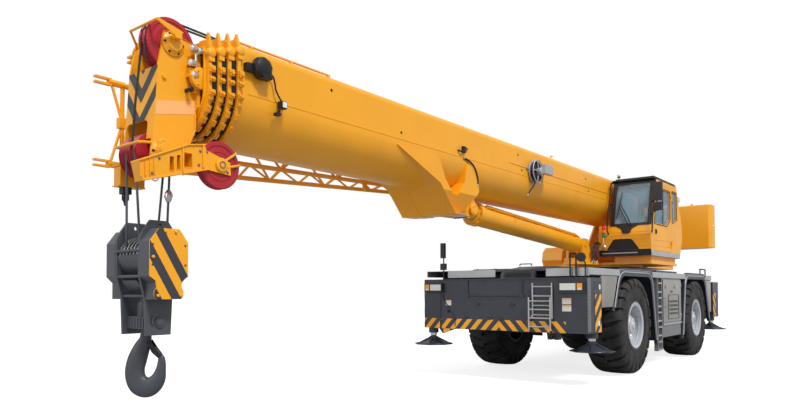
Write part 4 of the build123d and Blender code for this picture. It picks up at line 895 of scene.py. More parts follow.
    def foot(self) -> None:
        """The height switch under the foot box, the box's edges, and the weight ring beside it."""
        shape = self.piece("head_limit_switch", Coat.BLACK, 0.004)
        shape.block((11.2, 11.29), (-0.35, -0.27), (2.5, 2.58))
        shape.lathe((11.245, -0.31, 2.5), (0, 0, -1), [(0.034, 0), (0.034, 0.05), (0.018, 0.075),
            (0.012, 0.11)], 14)
        edge = self.piece("head_foot_plates", Coat.ORANGE, 0.002)
        for z in (2.763, 2.568):
            edge.block((11.07, 11.345), (-0.378, -0.251), (z, z + 0.012))
        ring = self.piece("head_weight_ring", Coat.TRIM_BRIGHT)
        ring.hoop((11.3, 0.3, 2.585), (0.4, 1, 0), 0.026, 0.005, 20)
        ring.tube([(11.3, 0.3, 2.61), (11.28, 0.3, 2.68)], 0.005)

    def draw(self) -> None:
        """Draws the head's pieces."""
        for part in (self.chevrons, self.side_marks, self.window, self.plate_fittings, self.lamps,
                     self.ropes, self.sheave_faces, self.foot):
            part()


@dataclass
class AuxiliaryBracket(Assembly):
    """Ribs, hub and bolts of the folded bracket with the single sheave."""

    inner_y: float = 0.392
    outer_y: float = 0.53
    edge_y: float = 0.545
    hub: Flat = (10.738, 2.762)
    top: tuple[Flat, ...] = ((11.59, 2.667), (11.114, 2.881), (10.928, 2.914))
    low: tuple[Flat, ...] = ((11.55, 2.505), (10.888, 2.691))
    # middle (x, z) and half length of each cut-out
    holes: tuple[Point, ...] = ((11.277, 2.691, 0.02), (11.209, 2.714, 0.016), (11.116, 2.747, 0.045))
    body: str = "head"

    def draw(self) -> None:
        """Draws the bracket's pieces."""
        shape = self.piece("bracket_ribs", Coat.ORANGE, 0.002)
        for line in (self.top, self.low):
            shape.strip(line, (self.inner_y, self.edge_y), (0, 0, 0.012))
        for number in range(4):
            x = 11.575 - number * 0.042
            shape.block(about(x, 0.006), (self.outer_y, self.outer_y + 0.014),
                        (2.535 + number * 0.012, 2.655 + number * 0.019))
        for x, z, half in self.holes:
            wide, tall = half + 0.006, 0.068
            rim = softened([(x - wide, z - tall), (x + wide, z - tall), (x + wide, z + tall),
                            (x - wide, z + tall)], 0.02)
            for (x0, z0), (x1, z1) in zip(rim, rim[1:] + rim[:1]):
                shape.tube([(x0, self.outer_y, z0), (x1, self.outer_y, z1)], 0.005, 6)
        shape.block((10.945, 10.965), (self.inner_y, self.edge_y), (2.7, 2.91))
        shape.block((11.16, 11.175), (self.outer_y, self.edge_y), (2.6, 2.85))
        x, z = self.hub
        shape.lathe((x, 0.51, z), "y", [(0.066, 0), (0.066, 0.018), (0.054, 0.024)], 28)
        shape.disc((11.2, 0.396, 2.84), (0, -1, 0), 0.09, 0.13)
        dark = self.piece("bracket_bolts", Coat.CAST)
        dark.lathe((x, 0.53, z), "y", [(0.034, 0), (0.034, 0.01), (0.026, 0.01), (0.024, 0.003)], 24)
        dark.bolts("y", 0.01, 0.012, (10.665, 0.51, 2.7), (10.9, 0.51, 2.86), (10.9, 0.51, 2.73),
                   (11.0, 0.53, 2.72), (10.985, 0.53, 2.85), (11.47, 0.53, 2.58), (11.4, 0.53, 2.72))


@dataclass
class Collars(Assembly):
    """Wear-pad blocks, hoods and dark pads round the front ends of the boom's tubes."""

    half: float = 0.475
    top_z: float = 4.03
    step: float = 0.026
    rim: float = 0.022
    front_x: float = 10.5
    pitch: float = 0.094
    length: float = 0.038
    arc_z: float = 3.515
    bodies: tuple[str, ...] = ("boom", "section_2", "section_3", "section_4")

    def collar(self, number: int) -> None:
        """Hoods, blocks and clips of one collar.

        Args:
            number: 0 for the base tube to 3.
        """
        x = self.front_x + number * self.pitch
        face = self.half - number * self.step + self.rim
        crest = self.top_z - number * self.step + self.rim
        shape = self.piece(f"collar_{number + 1}_blocks", Coat.ORANGE, 0.002, body=self.bodies[number])
        for side in SIDES:
            axis = (0, side, 0)
            shape.lathe((x + 0.006, side * (face - 0.035), crest - 0.125), axis,
                        [(0.05, 0), (0.05, 0.035), (0.042, 0.052), (0.024, 0.062)], 20)
            shape.block((x - 0.022, x + 0.04), sided(side, face - 0.01, face + 0.016),
                        (crest - 0.21, crest - 0.17))
            for z, tall in ((3.66, 0.062), (3.57, 0.045), (3.44, 0.05)):
                shape.block((x - 0.02, x + 0.034), sided(side, face - 0.01, face + 0.03), (z, z + tall))
                shape.block((x - 0.008, x + 0.022), sided(side, face - 0.01, face + 0.048),
                            (z + 0.012, z + tall - 0.012))
                shape.bolts(axis, 0.007, 0.01, *[(x + a, side * (face + 0.03), z + tall / 2)
                    for a in (-0.014, 0.028)])
            for angle in range(12, 77, 16):
                turn = radians(angle)
                out = Vector((0, side * cos(turn), -sin(turn)))
                along = Vector((0, side * sin(turn), cos(turn)))
                spot = Vector((x, 0, self.arc_z)) + out * (face - 0.004)
                corners = ((-0.034, -0.016), (0.034, -0.016), (0.034, 0.032), (-0.034, 0.032))
                shape.slab([spot + along * a + Vector((b, 0, 0)) for a, b in corners], out * 0.02)
                shape.bolts(out, 0.007, 0.01, *[spot + out * 0.02 + Vector((0.008, 0, 0)) + along * a
                    for a in (0.018, -0.018)])
        for y in (-0.3, -0.1, 0.1, 0.3):
            shape.block((x - 0.014, x + 0.034), about(y, 0.04), (crest - 0.006, crest + 0.014))

    def pads(self, number: int) -> None:
        """Dark wear strips just before a collar, on the tube that slides in it.

        Args:
            number: 0 for the strips between the first two collars.
        """
        inner = self.half - (number + 1) * self.step
        low, high = inner + 0.001, inner + 0.02
        start = self.front_x + number * self.pitch + self.length
        shape = self.piece(f"wear_strips_{number + 1}", Coat.BLACK, body=self.bodies[number])
        for side in SIDES:
            shape.block((start, self.front_x + (number + 1) * self.pitch - 0.002),
                        sided(side, low, inner + 0.024), (3.47, 3.83))
            for angle in range(6, 84, 13):
                (a, b), (c, d) = [(side * cos(turn), -sin(turn))
                                  for turn in (radians(angle), radians(angle + 11))]
                wedge = [(low * a, low * b), (high * a, high * b), (high * c, high * d), (low * c, low * d)]
                shape.plate([(y, self.arc_z + z) for y, z in wedge], "x", (start, start + 0.026))

    def draw(self) -> None:
        """Draws the collars' pieces."""
        for number in range(4):
            self.collar(number)
            if number < 3:
                self.pads(number)
        disc = self.piece("head_pad_disc", Coat.ORANGE, 0.002, body="head")
        for side in SIDES:
            disc.lathe((10.85, side * 0.3, 3.6), (0, side, 0), [(0.105, 0), (0.105, 0.045), (0.09, 0.052)],
                       28)
            disc.bolts((0, side, 0), 0.009, 0.012, *circle((10.85, side * 0.352, 3.6), "y", 0.075, even(6)))


@dataclass
class BoomFittings(Assembly):
    """Seams, ducts, reels, hoses and hooks along the boom's base tube."""

    side_y: float = 0.475
    rope_y: Flat = (0.13, 0.18)
    rope_radius: float = 0.011
    # x and rope height of each guide
    guides: tuple[Flat, ...] = ((10.4, 4.098), (6.0, 4.088), (2.0, 4.078), (-2.38, 4.068))
    plug_spots: tuple[Flat, ...] = (
        (4.7, 3.85), (4.57, 3.61), (1.79, 3.83), (1.65, 3.6), (9.2, 3.86), (7.9, 3.62))
    reel: Point = (4.15, 0.495, 3.64)
    spoke_y: float = 0.592
    saddle_pin: Flat = (5.72, 2.85)
    belly: tuple[Flat, ...] = ((7.015, 3.085), (6.64, 2.686), (6.305, 2.696))
    belly_half: float = 0.4865
    pivot: Flat = (-1.95, 3.42)
    body: str = "boom"

    def lines(self) -> None:
        """Weld seams, cable ducts and the slim bar along the top edge."""
        shape = self.piece("boom_ducts", Coat.ORANGE, 0.002)
        inside = self.side_y - 0.004
        for side in SIDES:
            shape.block((-2.4, 10.4), sided(side, inside, self.side_y + 0.005), (3.528, 3.536))
            shape.block((-0.3, 5.0), sided(side, inside, self.side_y + 0.008), (3.672, 3.694))
        shape.tube([(10.48, 0.4, 4.052), (9.15, 0.4, 4.052)], 0.013)
        for x in (10.3, 9.75, 9.18):
            shape.block(about(x, 0.02), (0.385, 0.415), (4.01, 4.05))
        shape.tube([(3.355, 0.44, 3.99), (3.355, 0.44, 4.055), (3.3, 0.44, 4.065), (3.28, 0.44, 4.04)], 0.01,
                   bend=0.02)
        for x in (-2.35, 3.0, 8.0):
            shape.block(about(x, 0.03), (-0.3, 0.3), (4.025, 4.042))
        plugs = self.piece("boom_plugs", Coat.BLACK)
        for side in SIDES:
            for x, z in self.plug_spots:
                plugs.lathe((x, side * self.side_y, z), (0, side, 0),
                            [(0.017, -0.002), (0.017, 0.005), (0.009, 0.008)], 12)
        plugs.tube([(6.56, 0.474, 3.62), (6.52, 0.52, 3.6), (6.42, 0.52, 3.64), (6.3, 0.478, 3.68)], 0.014,
                   bend=0.03)
        plugs.block((6.385, 6.455), (0.47, 0.515), (3.6, 3.69))
        hose("saddle_hose", Coat.RUBBER, self.body, [(6.42, 0.484, 3.525), (6.3, 0.494, 3.505),
            (6.17, 0.498, 3.45), (6.08, 0.498, 3.36), (6.03, 0.494, 3.25), (6.02, 0.484, 3.16)], 0.026)

    def ropes(self) -> None:
        """The two hoist ropes over the boom and their guides."""
        rope = self.piece("boom_hoist_ropes", Coat.WIRE)
        for y in self.rope_y:
            rope.tube([(10.45, y, 4.098), (-2.38, y, 4.068)], self.rope_radius, 8)
        guide = self.piece("rope_guides", Coat.ORANGE, 0.002)
        for x, z in self.guides:
            for y in ((0.08, 0.1), (0.21, 0.23)):
                guide.block(about(x, 0.02), y, (4.02, z + 0.03))
            for level in (z + 0.02, z - 0.021):
                guide.tube([(x, 0.08, level), (x, 0.23, level)], 0.008)

    def front_reel(self) -> None:
        """The dark length-sensor reel behind the collars, its cable and its small square lamp."""
        shape = self.piece("front_reel", Coat.BLACK, 0.006)
        shape.lathe((10.27, 0.49, 3.81), "y", [(0.085, -0.02), (0.112, 0.01), (0.118, 0.06), (0.1, 0.1),
            (0.055, 0.12)], 9)
        shape.blocks(((10.36, 10.455), (0.47, 0.54), (3.75, 3.83)),
                     ((10.18, 10.3), (0.5, 0.6), (3.7, 3.745)),
                     ((9.955, 10.03), (0.5, 0.57), (3.455, 3.535)),
                     ((10.02, 10.08), (0.49, 0.55), (3.375, 3.41)))
        shape.tube([(9.99, 0.49, 3.45), (10.04, 0.5, 3.4)], 0.012)
        hose("front_reel_cable", Coat.RUBBER, self.body,
             [(10.16, 0.52, 3.8), (10.11, 0.522, 3.77), (10.085, 0.522, 3.71), (10.07, 0.522, 3.64),
              (10.03, 0.525, 3.575), (9.995, 0.53, 3.53)], 0.018)
        lens = self.piece("boom_lamp_lens", Coat.LENS_CLEAR, 0.003)
        lens.block((9.965, 10.02), (0.57, 0.576), (3.465, 3.525))

    def rear_reel(self) -> None:
        """The grey cable reel on the boom's side with its winding, arm and hanging tail."""
        x, y, z = self.reel
        shape = self.piece("cable_reel_frame", Coat.LIGHT, 0.003)
        shape.lathe(self.reel, "y", [(0.205, 0.0), (0.205, 0.01), (0.19, 0.014), (0.1, 0.014)], 32)
        shape.hoop((x, y + 0.085, z), "y", 0.197, 0.01, 36)
        shape.lathe(self.reel, "y", [(0.062, 0.0), (0.062, 0.15), (0.05, 0.16)], 20)
        middle = (x, self.spoke_y, z)
        for tip in circle(middle, "y", 0.19, even(5)):
            shape.tube([middle, tip], 0.011, 6)
        shape.blocks(((3.8, 4.12), (0.6, 0.7), (3.6, 3.76)), ((4.1, 4.42), (0.475, 0.5), (3.66, 3.7)))
        cable = self.piece("cable_reel_winding", Coat.RUBBER)
        for number, turn in enumerate((0.155, 0.165, 0.158, 0.166)):
            cable.hoop((x, 0.517 + number * 0.015, z), "y", turn, 0.01, 36)
        cable.lathe(self.reel, "y", [(0.145, 0.014), (0.145, 0.078)], 28)
        hose("cable_reel_tail", Coat.RUBBER, self.body,
             [(4.19, 0.545, 3.485), (4.225, 0.54, 3.41), (4.28, 0.525, 3.335), (4.33, 0.5, 3.27),
              (4.36, 0.478, 3.2)], 0.026)

    def saddle(self) -> None:
        """Pin caps and belly plate of the luff cylinder's saddle, and the boom's pivot caps."""
        (x, z), (pivot_x, pivot_z) = self.saddle_pin, self.pivot
        shape = self.piece("saddle_caps", Coat.ORANGE, 0.003)
        boss = self.piece("boom_pivot_caps", Coat.ORANGE, 0.003)
        for side in SIDES:
            axis = (0, side, 0)
            shape.lathe((x, side * 0.224, z), axis, [(0.105, 0), (0.105, 0.02), (0.085, 0.034)], 28)
            shape.bolts(axis, 0.011, 0.013, *circle((x, side * 0.258, z), "y", 0.07, (0.5, 2.1, 3.7, 5.3)))
            boss.disc((pivot_x, side * 0.3, pivot_z), axis, 0.13, 0.13, 28)
        cover = self.piece("saddle_belly", Coat.ORANGE)
        cover.strip(self.belly, (-self.belly_half, self.belly_half), (0, 0, 0.008))

    def draw(self) -> None:
        """Draws the base tube's pieces."""
        for part in (self.lines, self.ropes, self.front_reel, self.rear_reel, self.saddle):
            part()


@dataclass
class LuffCylinder(Assembly):
    """End ring, gland, pipes and clamps on the luff cylinder's barrel."""

    base: Flat = (1.11, 2.56)
    eye: Flat = (5.72, 2.85)
    radius: float = 0.178
    gland_before_eye: float = 0.33
    # y and rise of each pipe
    pipes: tuple[Flat, ...] = ((0.115, 0.165), (0.155, 0.128))
    clamps: tuple[float, ...] = (0.5, 1.4, 2.3, 3.2, 3.9)
    body: str = "luff_barrel"

    def spot(self, run: float, y: float, rise: float) -> Point:
        """A point at a distance along the cylinder, aside and square above it."""
        along = (Vector(self.eye) - Vector(self.base)).normalized()
        return (self.base[0] + along.x * run - along.y * rise, y,
                self.base[1] + along.y * run + along.x * rise)

    def draw(self) -> None:
        """Draws the barrel's pieces."""
        along = Vector(self.spot(1, 0, 0)) - Vector(self.spot(0, 0, 0))
        end = (Vector(self.eye) - Vector(self.base)).length - self.gland_before_eye
        shape = self.piece("luff_pipes", Coat.ORANGE, 0.001)
        for y, rise in self.pipes:
            shape.tube([self.spot(0.28, y * 0.8, rise * 0.82), self.spot(0.34, y, rise),
                        self.spot(end - 0.26, y, rise), self.spot(end - 0.2, y * 0.85, rise * 0.85)], 0.013,
                       bend=0.02)
        for run in self.clamps:
            shape.lathe(self.spot(run, 0, 0), along, [(self.radius + 0.003, -0.02),
                (self.radius + 0.003, 0.02)], 40)
            shape.slab([self.spot(run - 0.02, 0.1, 0.15), self.spot(run + 0.02, 0.1, 0.15),
                        self.spot(run + 0.02, 0.165, 0.1), self.spot(run - 0.02, 0.165, 0.1)],
                       (0, 0.024, 0.028))
        shape.disc(self.spot(0.215, 0, 0), along, self.radius + 0.012, 0.05, 40)
        gland = self.piece("luff_gland", Coat.ORANGE)
        gland.lathe(self.spot(end, 0, 0), along, [(0.112, 0.0), (0.15, 0.0), (0.15, 0.022), (0.135, 0.03),
            (0.112, 0.03)], 36, caps=False)
        gland.bolts(along, 0.011, 0.014, *[self.spot(end, 0.172 * cos(turn), 0.172 * sin(turn))
            for turn in even(12)])


# ---------------------------------------------------------------- hook block


@dataclass
class HookBlock(Assembly):
    """Striped cover, ropes, guards and keepers of the hook block."""

    x: float = 11.2
    cover_y: float = 0.37
    sheave_z: float = 1.905
    sheave_pitch: float = 0.06
    nut_z: float = 1.275
    # left half of the side weight's outline, from the middle of its top to its foot
    half_outline: tuple[Flat, ...] = (
        (0.105, 2.13), (0.195, 2.01), (0.195, 1.7), (0.135, 1.655), (0.125, 1.6), (0.148, 1.565),
        (0.148, 1.515), (0.125, 1.49))
    stripe_normal: Flat = (0.856, -0.517)
    stripe_half: float = 0.042
    body: str = "hook_block"

    def cover(self) -> None:
        """The orange cover plate on the left with its three slanting dark stripes."""
        outline = [(self.x + a, z) for a, z in self.half_outline] + \
            [(self.x - a, z) for a, z in self.half_outline[::-1]]
        face = self.cover_y + 0.012
        plate = self.piece("block_cover", Coat.ORANGE, 0.002)
        plate.plate(outline, "y", (self.cover_y + 0.002, face))
        for a, z in ((0.045, 2.105), (-0.06, 2.105), (0.165, 1.87), (0.115, 1.525), (-0.115, 1.525)):
            plate.lathe((self.x + a, face, z), "y", [(0.014, 0), (0.014, 0.016), (0.009, 0.02)], 10)
        dark = self.piece("block_stripes", Coat.STRIPE)
        for x in (0.321, 0.126, -0.069):
            middle = Vector((self.x + x, 1.827)).dot(Vector(self.stripe_normal))
            part = clipped(outline, self.stripe_normal, middle - self.stripe_half, middle + self.stripe_half)
            dark.plate(part, "y", (face, face + 0.002))

    def cheeks(self) -> None:
        """Flanges, spacers and keepers on the two cheek plates."""
        shape = self.piece("block_fittings", Coat.BLOCK_GREY, 0.003)
        for side in SIDES:
            axis = (0, side, 0)
            shape.lathe((self.x, side * 0.205, 2.165), axis,
                        [(0.034, 0), (0.034, 0.016), (0.021, 0.016), (0.021, 0)], 20, caps=False)
            shape.hoop((self.x - 0.01, side * 0.222, self.nut_z), axis, 0.044, 0.009, 24)
            shape.lathe((self.x - 0.01, side * 0.215, self.nut_z), axis,
                        [(0.036, 0), (0.036, 0.018), (0.028, 0.022)], 20)
            shape.block((self.x + 0.055, self.x + 0.075), sided(side, 0.215, 0.232), (1.26, 1.33))
            shape.bolts(axis, 0.014, 0.014, *[(self.x + a, side * self.cover_y, z) for z in (1.98, 1.8)
                for a in (0.165, -0.165)])
        for way in SIDES:
            self.guard(shape, way)
        shape.lathe((self.x, 0, 1.472), "z", [(0.06, 0), (0.06, 0.03), (0.046, 0.07)], 6)

    def guard(self, shape: Shape, way: int) -> None:
        """Bent cover round the lower half of the sheaves, with the bars under it.

        Args:
            shape: the piece that takes it.
            way: 1 for the guard in front of the sheaves, -1 for the one behind them.
        """
        turns = [radians(angle) for angle in range(2, 66, 7)]
        inner, outer = ([(self.x + way * wide * cos(turn), self.sheave_z - tall * sin(turn))
                         for turn in turns] for wide, tall in ((0.18, 0.195), (0.188, 0.203)))
        shape.plate(inner + outer[::-1], "y", (-0.185, 0.185))
        shape.slab([(self.x + way * 0.165, -0.12, 1.66), (self.x + way * 0.165, 0.12, 1.66),
                    (self.x + way * 0.09, 0.16, 1.56), (self.x + way * 0.09, -0.16, 1.56)],
                   (way * 0.008, 0, 0.004))
        for number in range(-3, 4):
            y = number * 0.05
            shape.block(tuple(sorted((self.x + way * 0.084, self.x + way * 0.092))), about(y, 0.006),
                        (1.225, 1.32))
        shape.tube([(self.x + way * 0.188, -0.215, 1.935), (self.x + way * 0.188, 0.215, 1.935)], 0.014)

    def ropes(self) -> None:
        """Rope lying in the block's six grooves, and the wedge socket on a rear fall."""
        shape = self.piece("block_ropes", Coat.WIRE)
        faces = self.piece("block_sheave_rims", Coat.ALUMINIUM)
        for number in range(6):
            y = (number - 2.5) * self.sheave_pitch
            shape.hoop((self.x, y, self.sheave_z), "y", 0.1485, 0.01, 40)
            for side in SIDES:
                faces.hoop((self.x, y + side * 0.026, self.sheave_z), "y", 0.1648, 0.0022, 40)
        socket = self.piece("wedge_socket", Coat.TRIM_BRIGHT, 0.002)
        top, low = Vector((self.x - 0.1936, 0.072, 2.835)), Vector((self.x - 0.1485, 0.09, 1.905))
        spot = low.lerp(top, 0.61)
        socket.lathe(spot, top - low, [(0.018, -0.06), (0.034, -0.03), (0.036, 0.03), (0.016, 0.06)], 12)
        socket.block(about(spot.x, 0.02), about(spot.y, 0.045), about(spot.z, 0.012))

    def draw(self) -> None:
        """Draws the block's pieces."""
        for part in (self.cover, self.cheeks, self.ropes):
            part()


@dataclass
class ForgedHook(Assembly):
    """The swivelling hook: a forged curve of changing section, its shank, nut and latch."""

    x: float = 11.2
    turn_deg: float = 128.8
    # distance across, height, half width and half thickness of each station from shank to tip
    stations: tuple[tuple[float, float, float, float], ...] = (
        (0.0, 1.165, 0.047, 0.047), (-0.004, 1.11, 0.056, 0.05), (-0.036, 1.035, 0.074, 0.053),
        (-0.074, 0.935, 0.087, 0.055), (-0.098, 0.838, 0.088, 0.055), (-0.09, 0.752, 0.092, 0.055),
        (-0.052, 0.69, 0.098, 0.055), (0.012, 0.667, 0.096, 0.055), (0.076, 0.692, 0.084, 0.054),
        (0.122, 0.752, 0.066, 0.05), (0.143, 0.828, 0.046, 0.042), (0.151, 0.892, 0.037, 0.034),
        (0.148, 0.945, 0.028, 0.026), (0.143, 0.966, 0.014, 0.014))
    # latch and its web as (distance across, height)
    latch: tuple[Flat, ...] = (
        (0.018, 1.085), (0.052, 1.112), (0.095, 1.045), (0.15, 0.972), (0.128, 0.94), (0.07, 0.99))
    web: tuple[Flat, ...] = ((0.095, 1.045), (0.15, 0.972), (0.144, 0.962), (0.088, 1.036))
    steps: int = 64
    facets: int = 24
    body: str = "hook"

    def curve(self, share: float) -> tuple[float, ...]:
        """Station values on a smooth line through the stations.

        Args:
            share: how far along the line they are wanted.

        Returns:
            The four values.
        """
        last = len(self.stations) - 1
        index = min(int(share * last), last - 1)
        rows = [self.stations[min(max(index + k, 0), last)] for k in (-1, 0, 1, 2)]
        return tuple(passing(*values, share * last - index) for values in zip(*rows))

    def ring(self, share: float, out: Vector, thick: Vector) -> list[Vector]:
        """The hook's section.

        Args:
            share: how far along the hook it is.
            out: direction from the shank to the tip.
            thick: direction across the hook's plane.

        Returns:
            The section's points.
        """
        across, z, wide, deep = self.curve(share)
        before, after = self.curve(max(share - 0.01, 0)), self.curve(min(share + 0.01, 1))
        heading = Vector((after[0] - before[0], after[1] - before[1])).normalized()
        points = []
        for c, s in (squared(angle, 0.8) for angle in even(self.facets)):
            flat = Vector((across, z)) + Vector((-heading.y, heading.x)) * (c * wide)
            points.append(Vector((self.x, 0, flat.y)) + out * flat.x + thick * (s * deep))
        return points

    def draw(self) -> None:
        """Draws the hook, its latch and its nut."""
        turn = radians(self.turn_deg)
        out = Vector((cos(turn), sin(turn), 0))
        thick = Vector((-out.y, out.x, 0))
        shape = self.piece("hook_forging", Coat.HOOK, smooth=60, replaced="hook")
        shape.loft([self.ring(step / self.steps, out, thick) for step in range(self.steps + 1)])
        shape.lathe((self.x, 0, 0), "z", [(0.046, 1.14), (0.046, 1.42)], 28)
        shape.lathe((self.x, 0, 0), "z", [(0.078, 1.3303), (0.078, 1.44), (0.068, 1.47), (0.03, 1.475)], 28)
        latch = self.piece("hook_latch", Coat.BLACK, 0.002)
        for outline, start, end in ((self.latch, -0.03, -0.036), (self.latch, 0.03, 0.036),
                (self.web, -0.03, 0.03)):
            latch.slab([Vector((self.x, 0, z)) + out * across + thick * start for across, z in outline],
                       thick * (end - start))
        latch.disc(Vector((self.x, 0, 1.09)) + out * 0.034 - thick * 0.048, thick, 0.014, 0.096, 14)


# ---------------------------------------------------------------- carrier


@dataclass
class CarrierFront(Assembly):
    """Stripes, labels, lamps and fittings of the front plate and its corners."""

    face_x: float = 4.54
    stripe_first: float = 0.055
    stripe_pitch: float = 0.215
    # y and z of the plugs in the front plate
    plugs: tuple[Flat, ...] = (
        (-0.42, 1.345), (0.27, 1.335), (-0.66, 1.1), (-0.19, 1.09), (0.03, 1.08), (0.6, 1.09), (0.6, 1.45))
    # middle, width and height of the blank plates
    plates: tuple[tuple[float, float, float, float], ...] = (
        (-1.045, 1.345, 0.115, 0.095), (1.245, 1.39, 0.155, 0.1), (1.245, 1.275, 0.155, 0.1))
    lamp_split: float = 0.12
    box_x: Flat = (3.955, 4.225)
    box_z: Flat = (0.875, 1.5)
    body: str = "carrier"

    def band_stripes(self) -> None:
        """The slanting orange stripes along the foot of the front, mirrored about the middle."""
        x = (self.face_x + 0.0005, self.face_x + 0.0025)
        starts = [self.stripe_first + number * self.stripe_pitch for number in range(8)]
        shape = self.piece("front_stripes", Coat.ORANGE)
        leaning(shape, x, starts, 1, (0.0, 1.225))
        leaning(shape, x, [-y for y in starts[:7]], -1, (0.0, 1.215))
        shape.plate(clipped([(-0.9, 0.87), (-1.18, 0.785), (-1.215, 0.87)], (1, 0), -1.16, -1.02), "x", x)
        corner = self.piece("front_corner_stripes", Coat.ORANGE, body="beam_front_right")
        leaning(corner, x, (-1.26, -1.475, -1.69), -1, (1.24, 1.585))

    def labels(self) -> None:
        """Dark-framed lamp boxes with blank white and orange fields, and small blank plates."""
        frame = self.piece("label_frames", Coat.BLACK, 0.002)
        white = self.piece("label_fields", Coat.WHITE)
        amber = self.piece("label_amber_fields", Coat.ORANGE)
        face, front = self.face_x, self.face_x + 0.06
        for side, near, far in ((-1, 1.155, 1.545), (1, 1.135, 1.555)):
            split = far - self.lamp_split
            middle = (far - 0.02 + split + 0.012) / 2
            frame.block((front, front + 0.006), sided(side, near, far), (1.548, 1.697))
            white.block((front + 0.006, front + 0.009), sided(side, near + 0.02, split - 0.012), (1.57, 1.68))
            amber.block((front + 0.006, front + 0.009), sided(side, split + 0.012, far - 0.02), (1.57, 1.68))
            white.block((front + 0.009, front + 0.0105), sided(side, middle - 0.03, middle + 0.03),
                        (1.575, 1.605))
        for y, z, wide, tall in self.plates:
            white.block((face, face + 0.002), (y - wide / 2, y + wide / 2), (z - tall / 2, z + tall / 2))
            amber.block((face + 0.002, face + 0.003), (y - wide / 2 + 0.006, y + wide / 2 - 0.006),
                        (z + tall / 2 - 0.024, z + tall / 2 - 0.006))
        frame.block((face, face + 0.0015), (1.27, 1.32), (1.25, 1.3))

    def fittings(self) -> None:
        """Conduits, plugs, seams and edges of the front plate."""
        face = self.face_x
        shape = self.piece("front_plate_fittings", Coat.SLATE, 0.002)
        shape.tube([(face + 0.01, y, z) for y, z in ((-0.62, 1.77), (-0.62, 1.475), (0.46, 1.475),
            (0.46, 1.77))], 0.01, bend=0.03)
        for y in (-0.62, 0.46):
            shape.block((face, face + 0.025), about(y, 0.03), (1.455, 1.5))
        for y, z in self.plugs:
            shape.lathe((face, y, z), "x", [(0.04, 0), (0.04, 0.014), (0.03, 0.02), (0.024, 0.02),
                (0.02, 0.01)], 20)
        shape.blocks(((face, face + 0.012), (-1.21, 1.585), (1.755, 1.776)),
                     ((face, face + 0.006), (-1.21, -1.195), (0.87, 1.76)),
                     ((face, face + 0.05), (1.12, 1.57), (1.52, 1.545)))
        pipe = self.piece("front_conduit", Coat.BLACK)
        pipe.tube([(face + 0.008, y, z) for y, z in ((-1.16, 1.5), (-1.16, 1.43), (-0.9, 1.07),
            (-0.9, 0.93))], 0.007, bend=0.04)
        pipe.lathe((face, -1.045, 1.19), "x", [(0.022, 0), (0.022, 0.02), (0.012, 0.03)], 14)
        pipe.tube([(face - 0.03, 0.91, 0.8), (face - 0.03, 1.03, 0.8)], 0.016)
        pipe.tube([(face + 0.02, 0.98, 0.76), (face + 0.02, 0.98, 0.9)], 0.018)

    def corner_parts(self) -> None:
        """Perforated strip, striped cover and labels at the left front corner."""
        strip = self.piece("left_corner_strip", Coat.PANEL, 0.001)
        strip.block((4.4, 4.535), (1.59, 1.594), (0.9, 1.76))
        holes = self.piece("left_corner_holes", Coat.BLACK)
        for number in range(14):
            holes.disc((4.49, 1.594, 0.95 + number * 0.058), "y", 0.01, 0.001, 10)
        beam = "beam_front_left"
        self.striped_cover(("left_box_cover", "left_box_stripes"), self.box_x, self.box_z, 1, beam, -45)
        plate = self.piece("left_box_label", Coat.WHITE, body=beam)
        plate.blocks(((4.02, 4.1), (1.5945, 1.596), (0.98, 1.06)),
                     ((3.99, 4.06), (1.5945, 1.596), (1.58, 1.66)))

    def draw(self) -> None:
        """Draws the front's pieces."""
        for part in (self.band_stripes, self.labels, self.fittings, self.corner_parts):
            part()


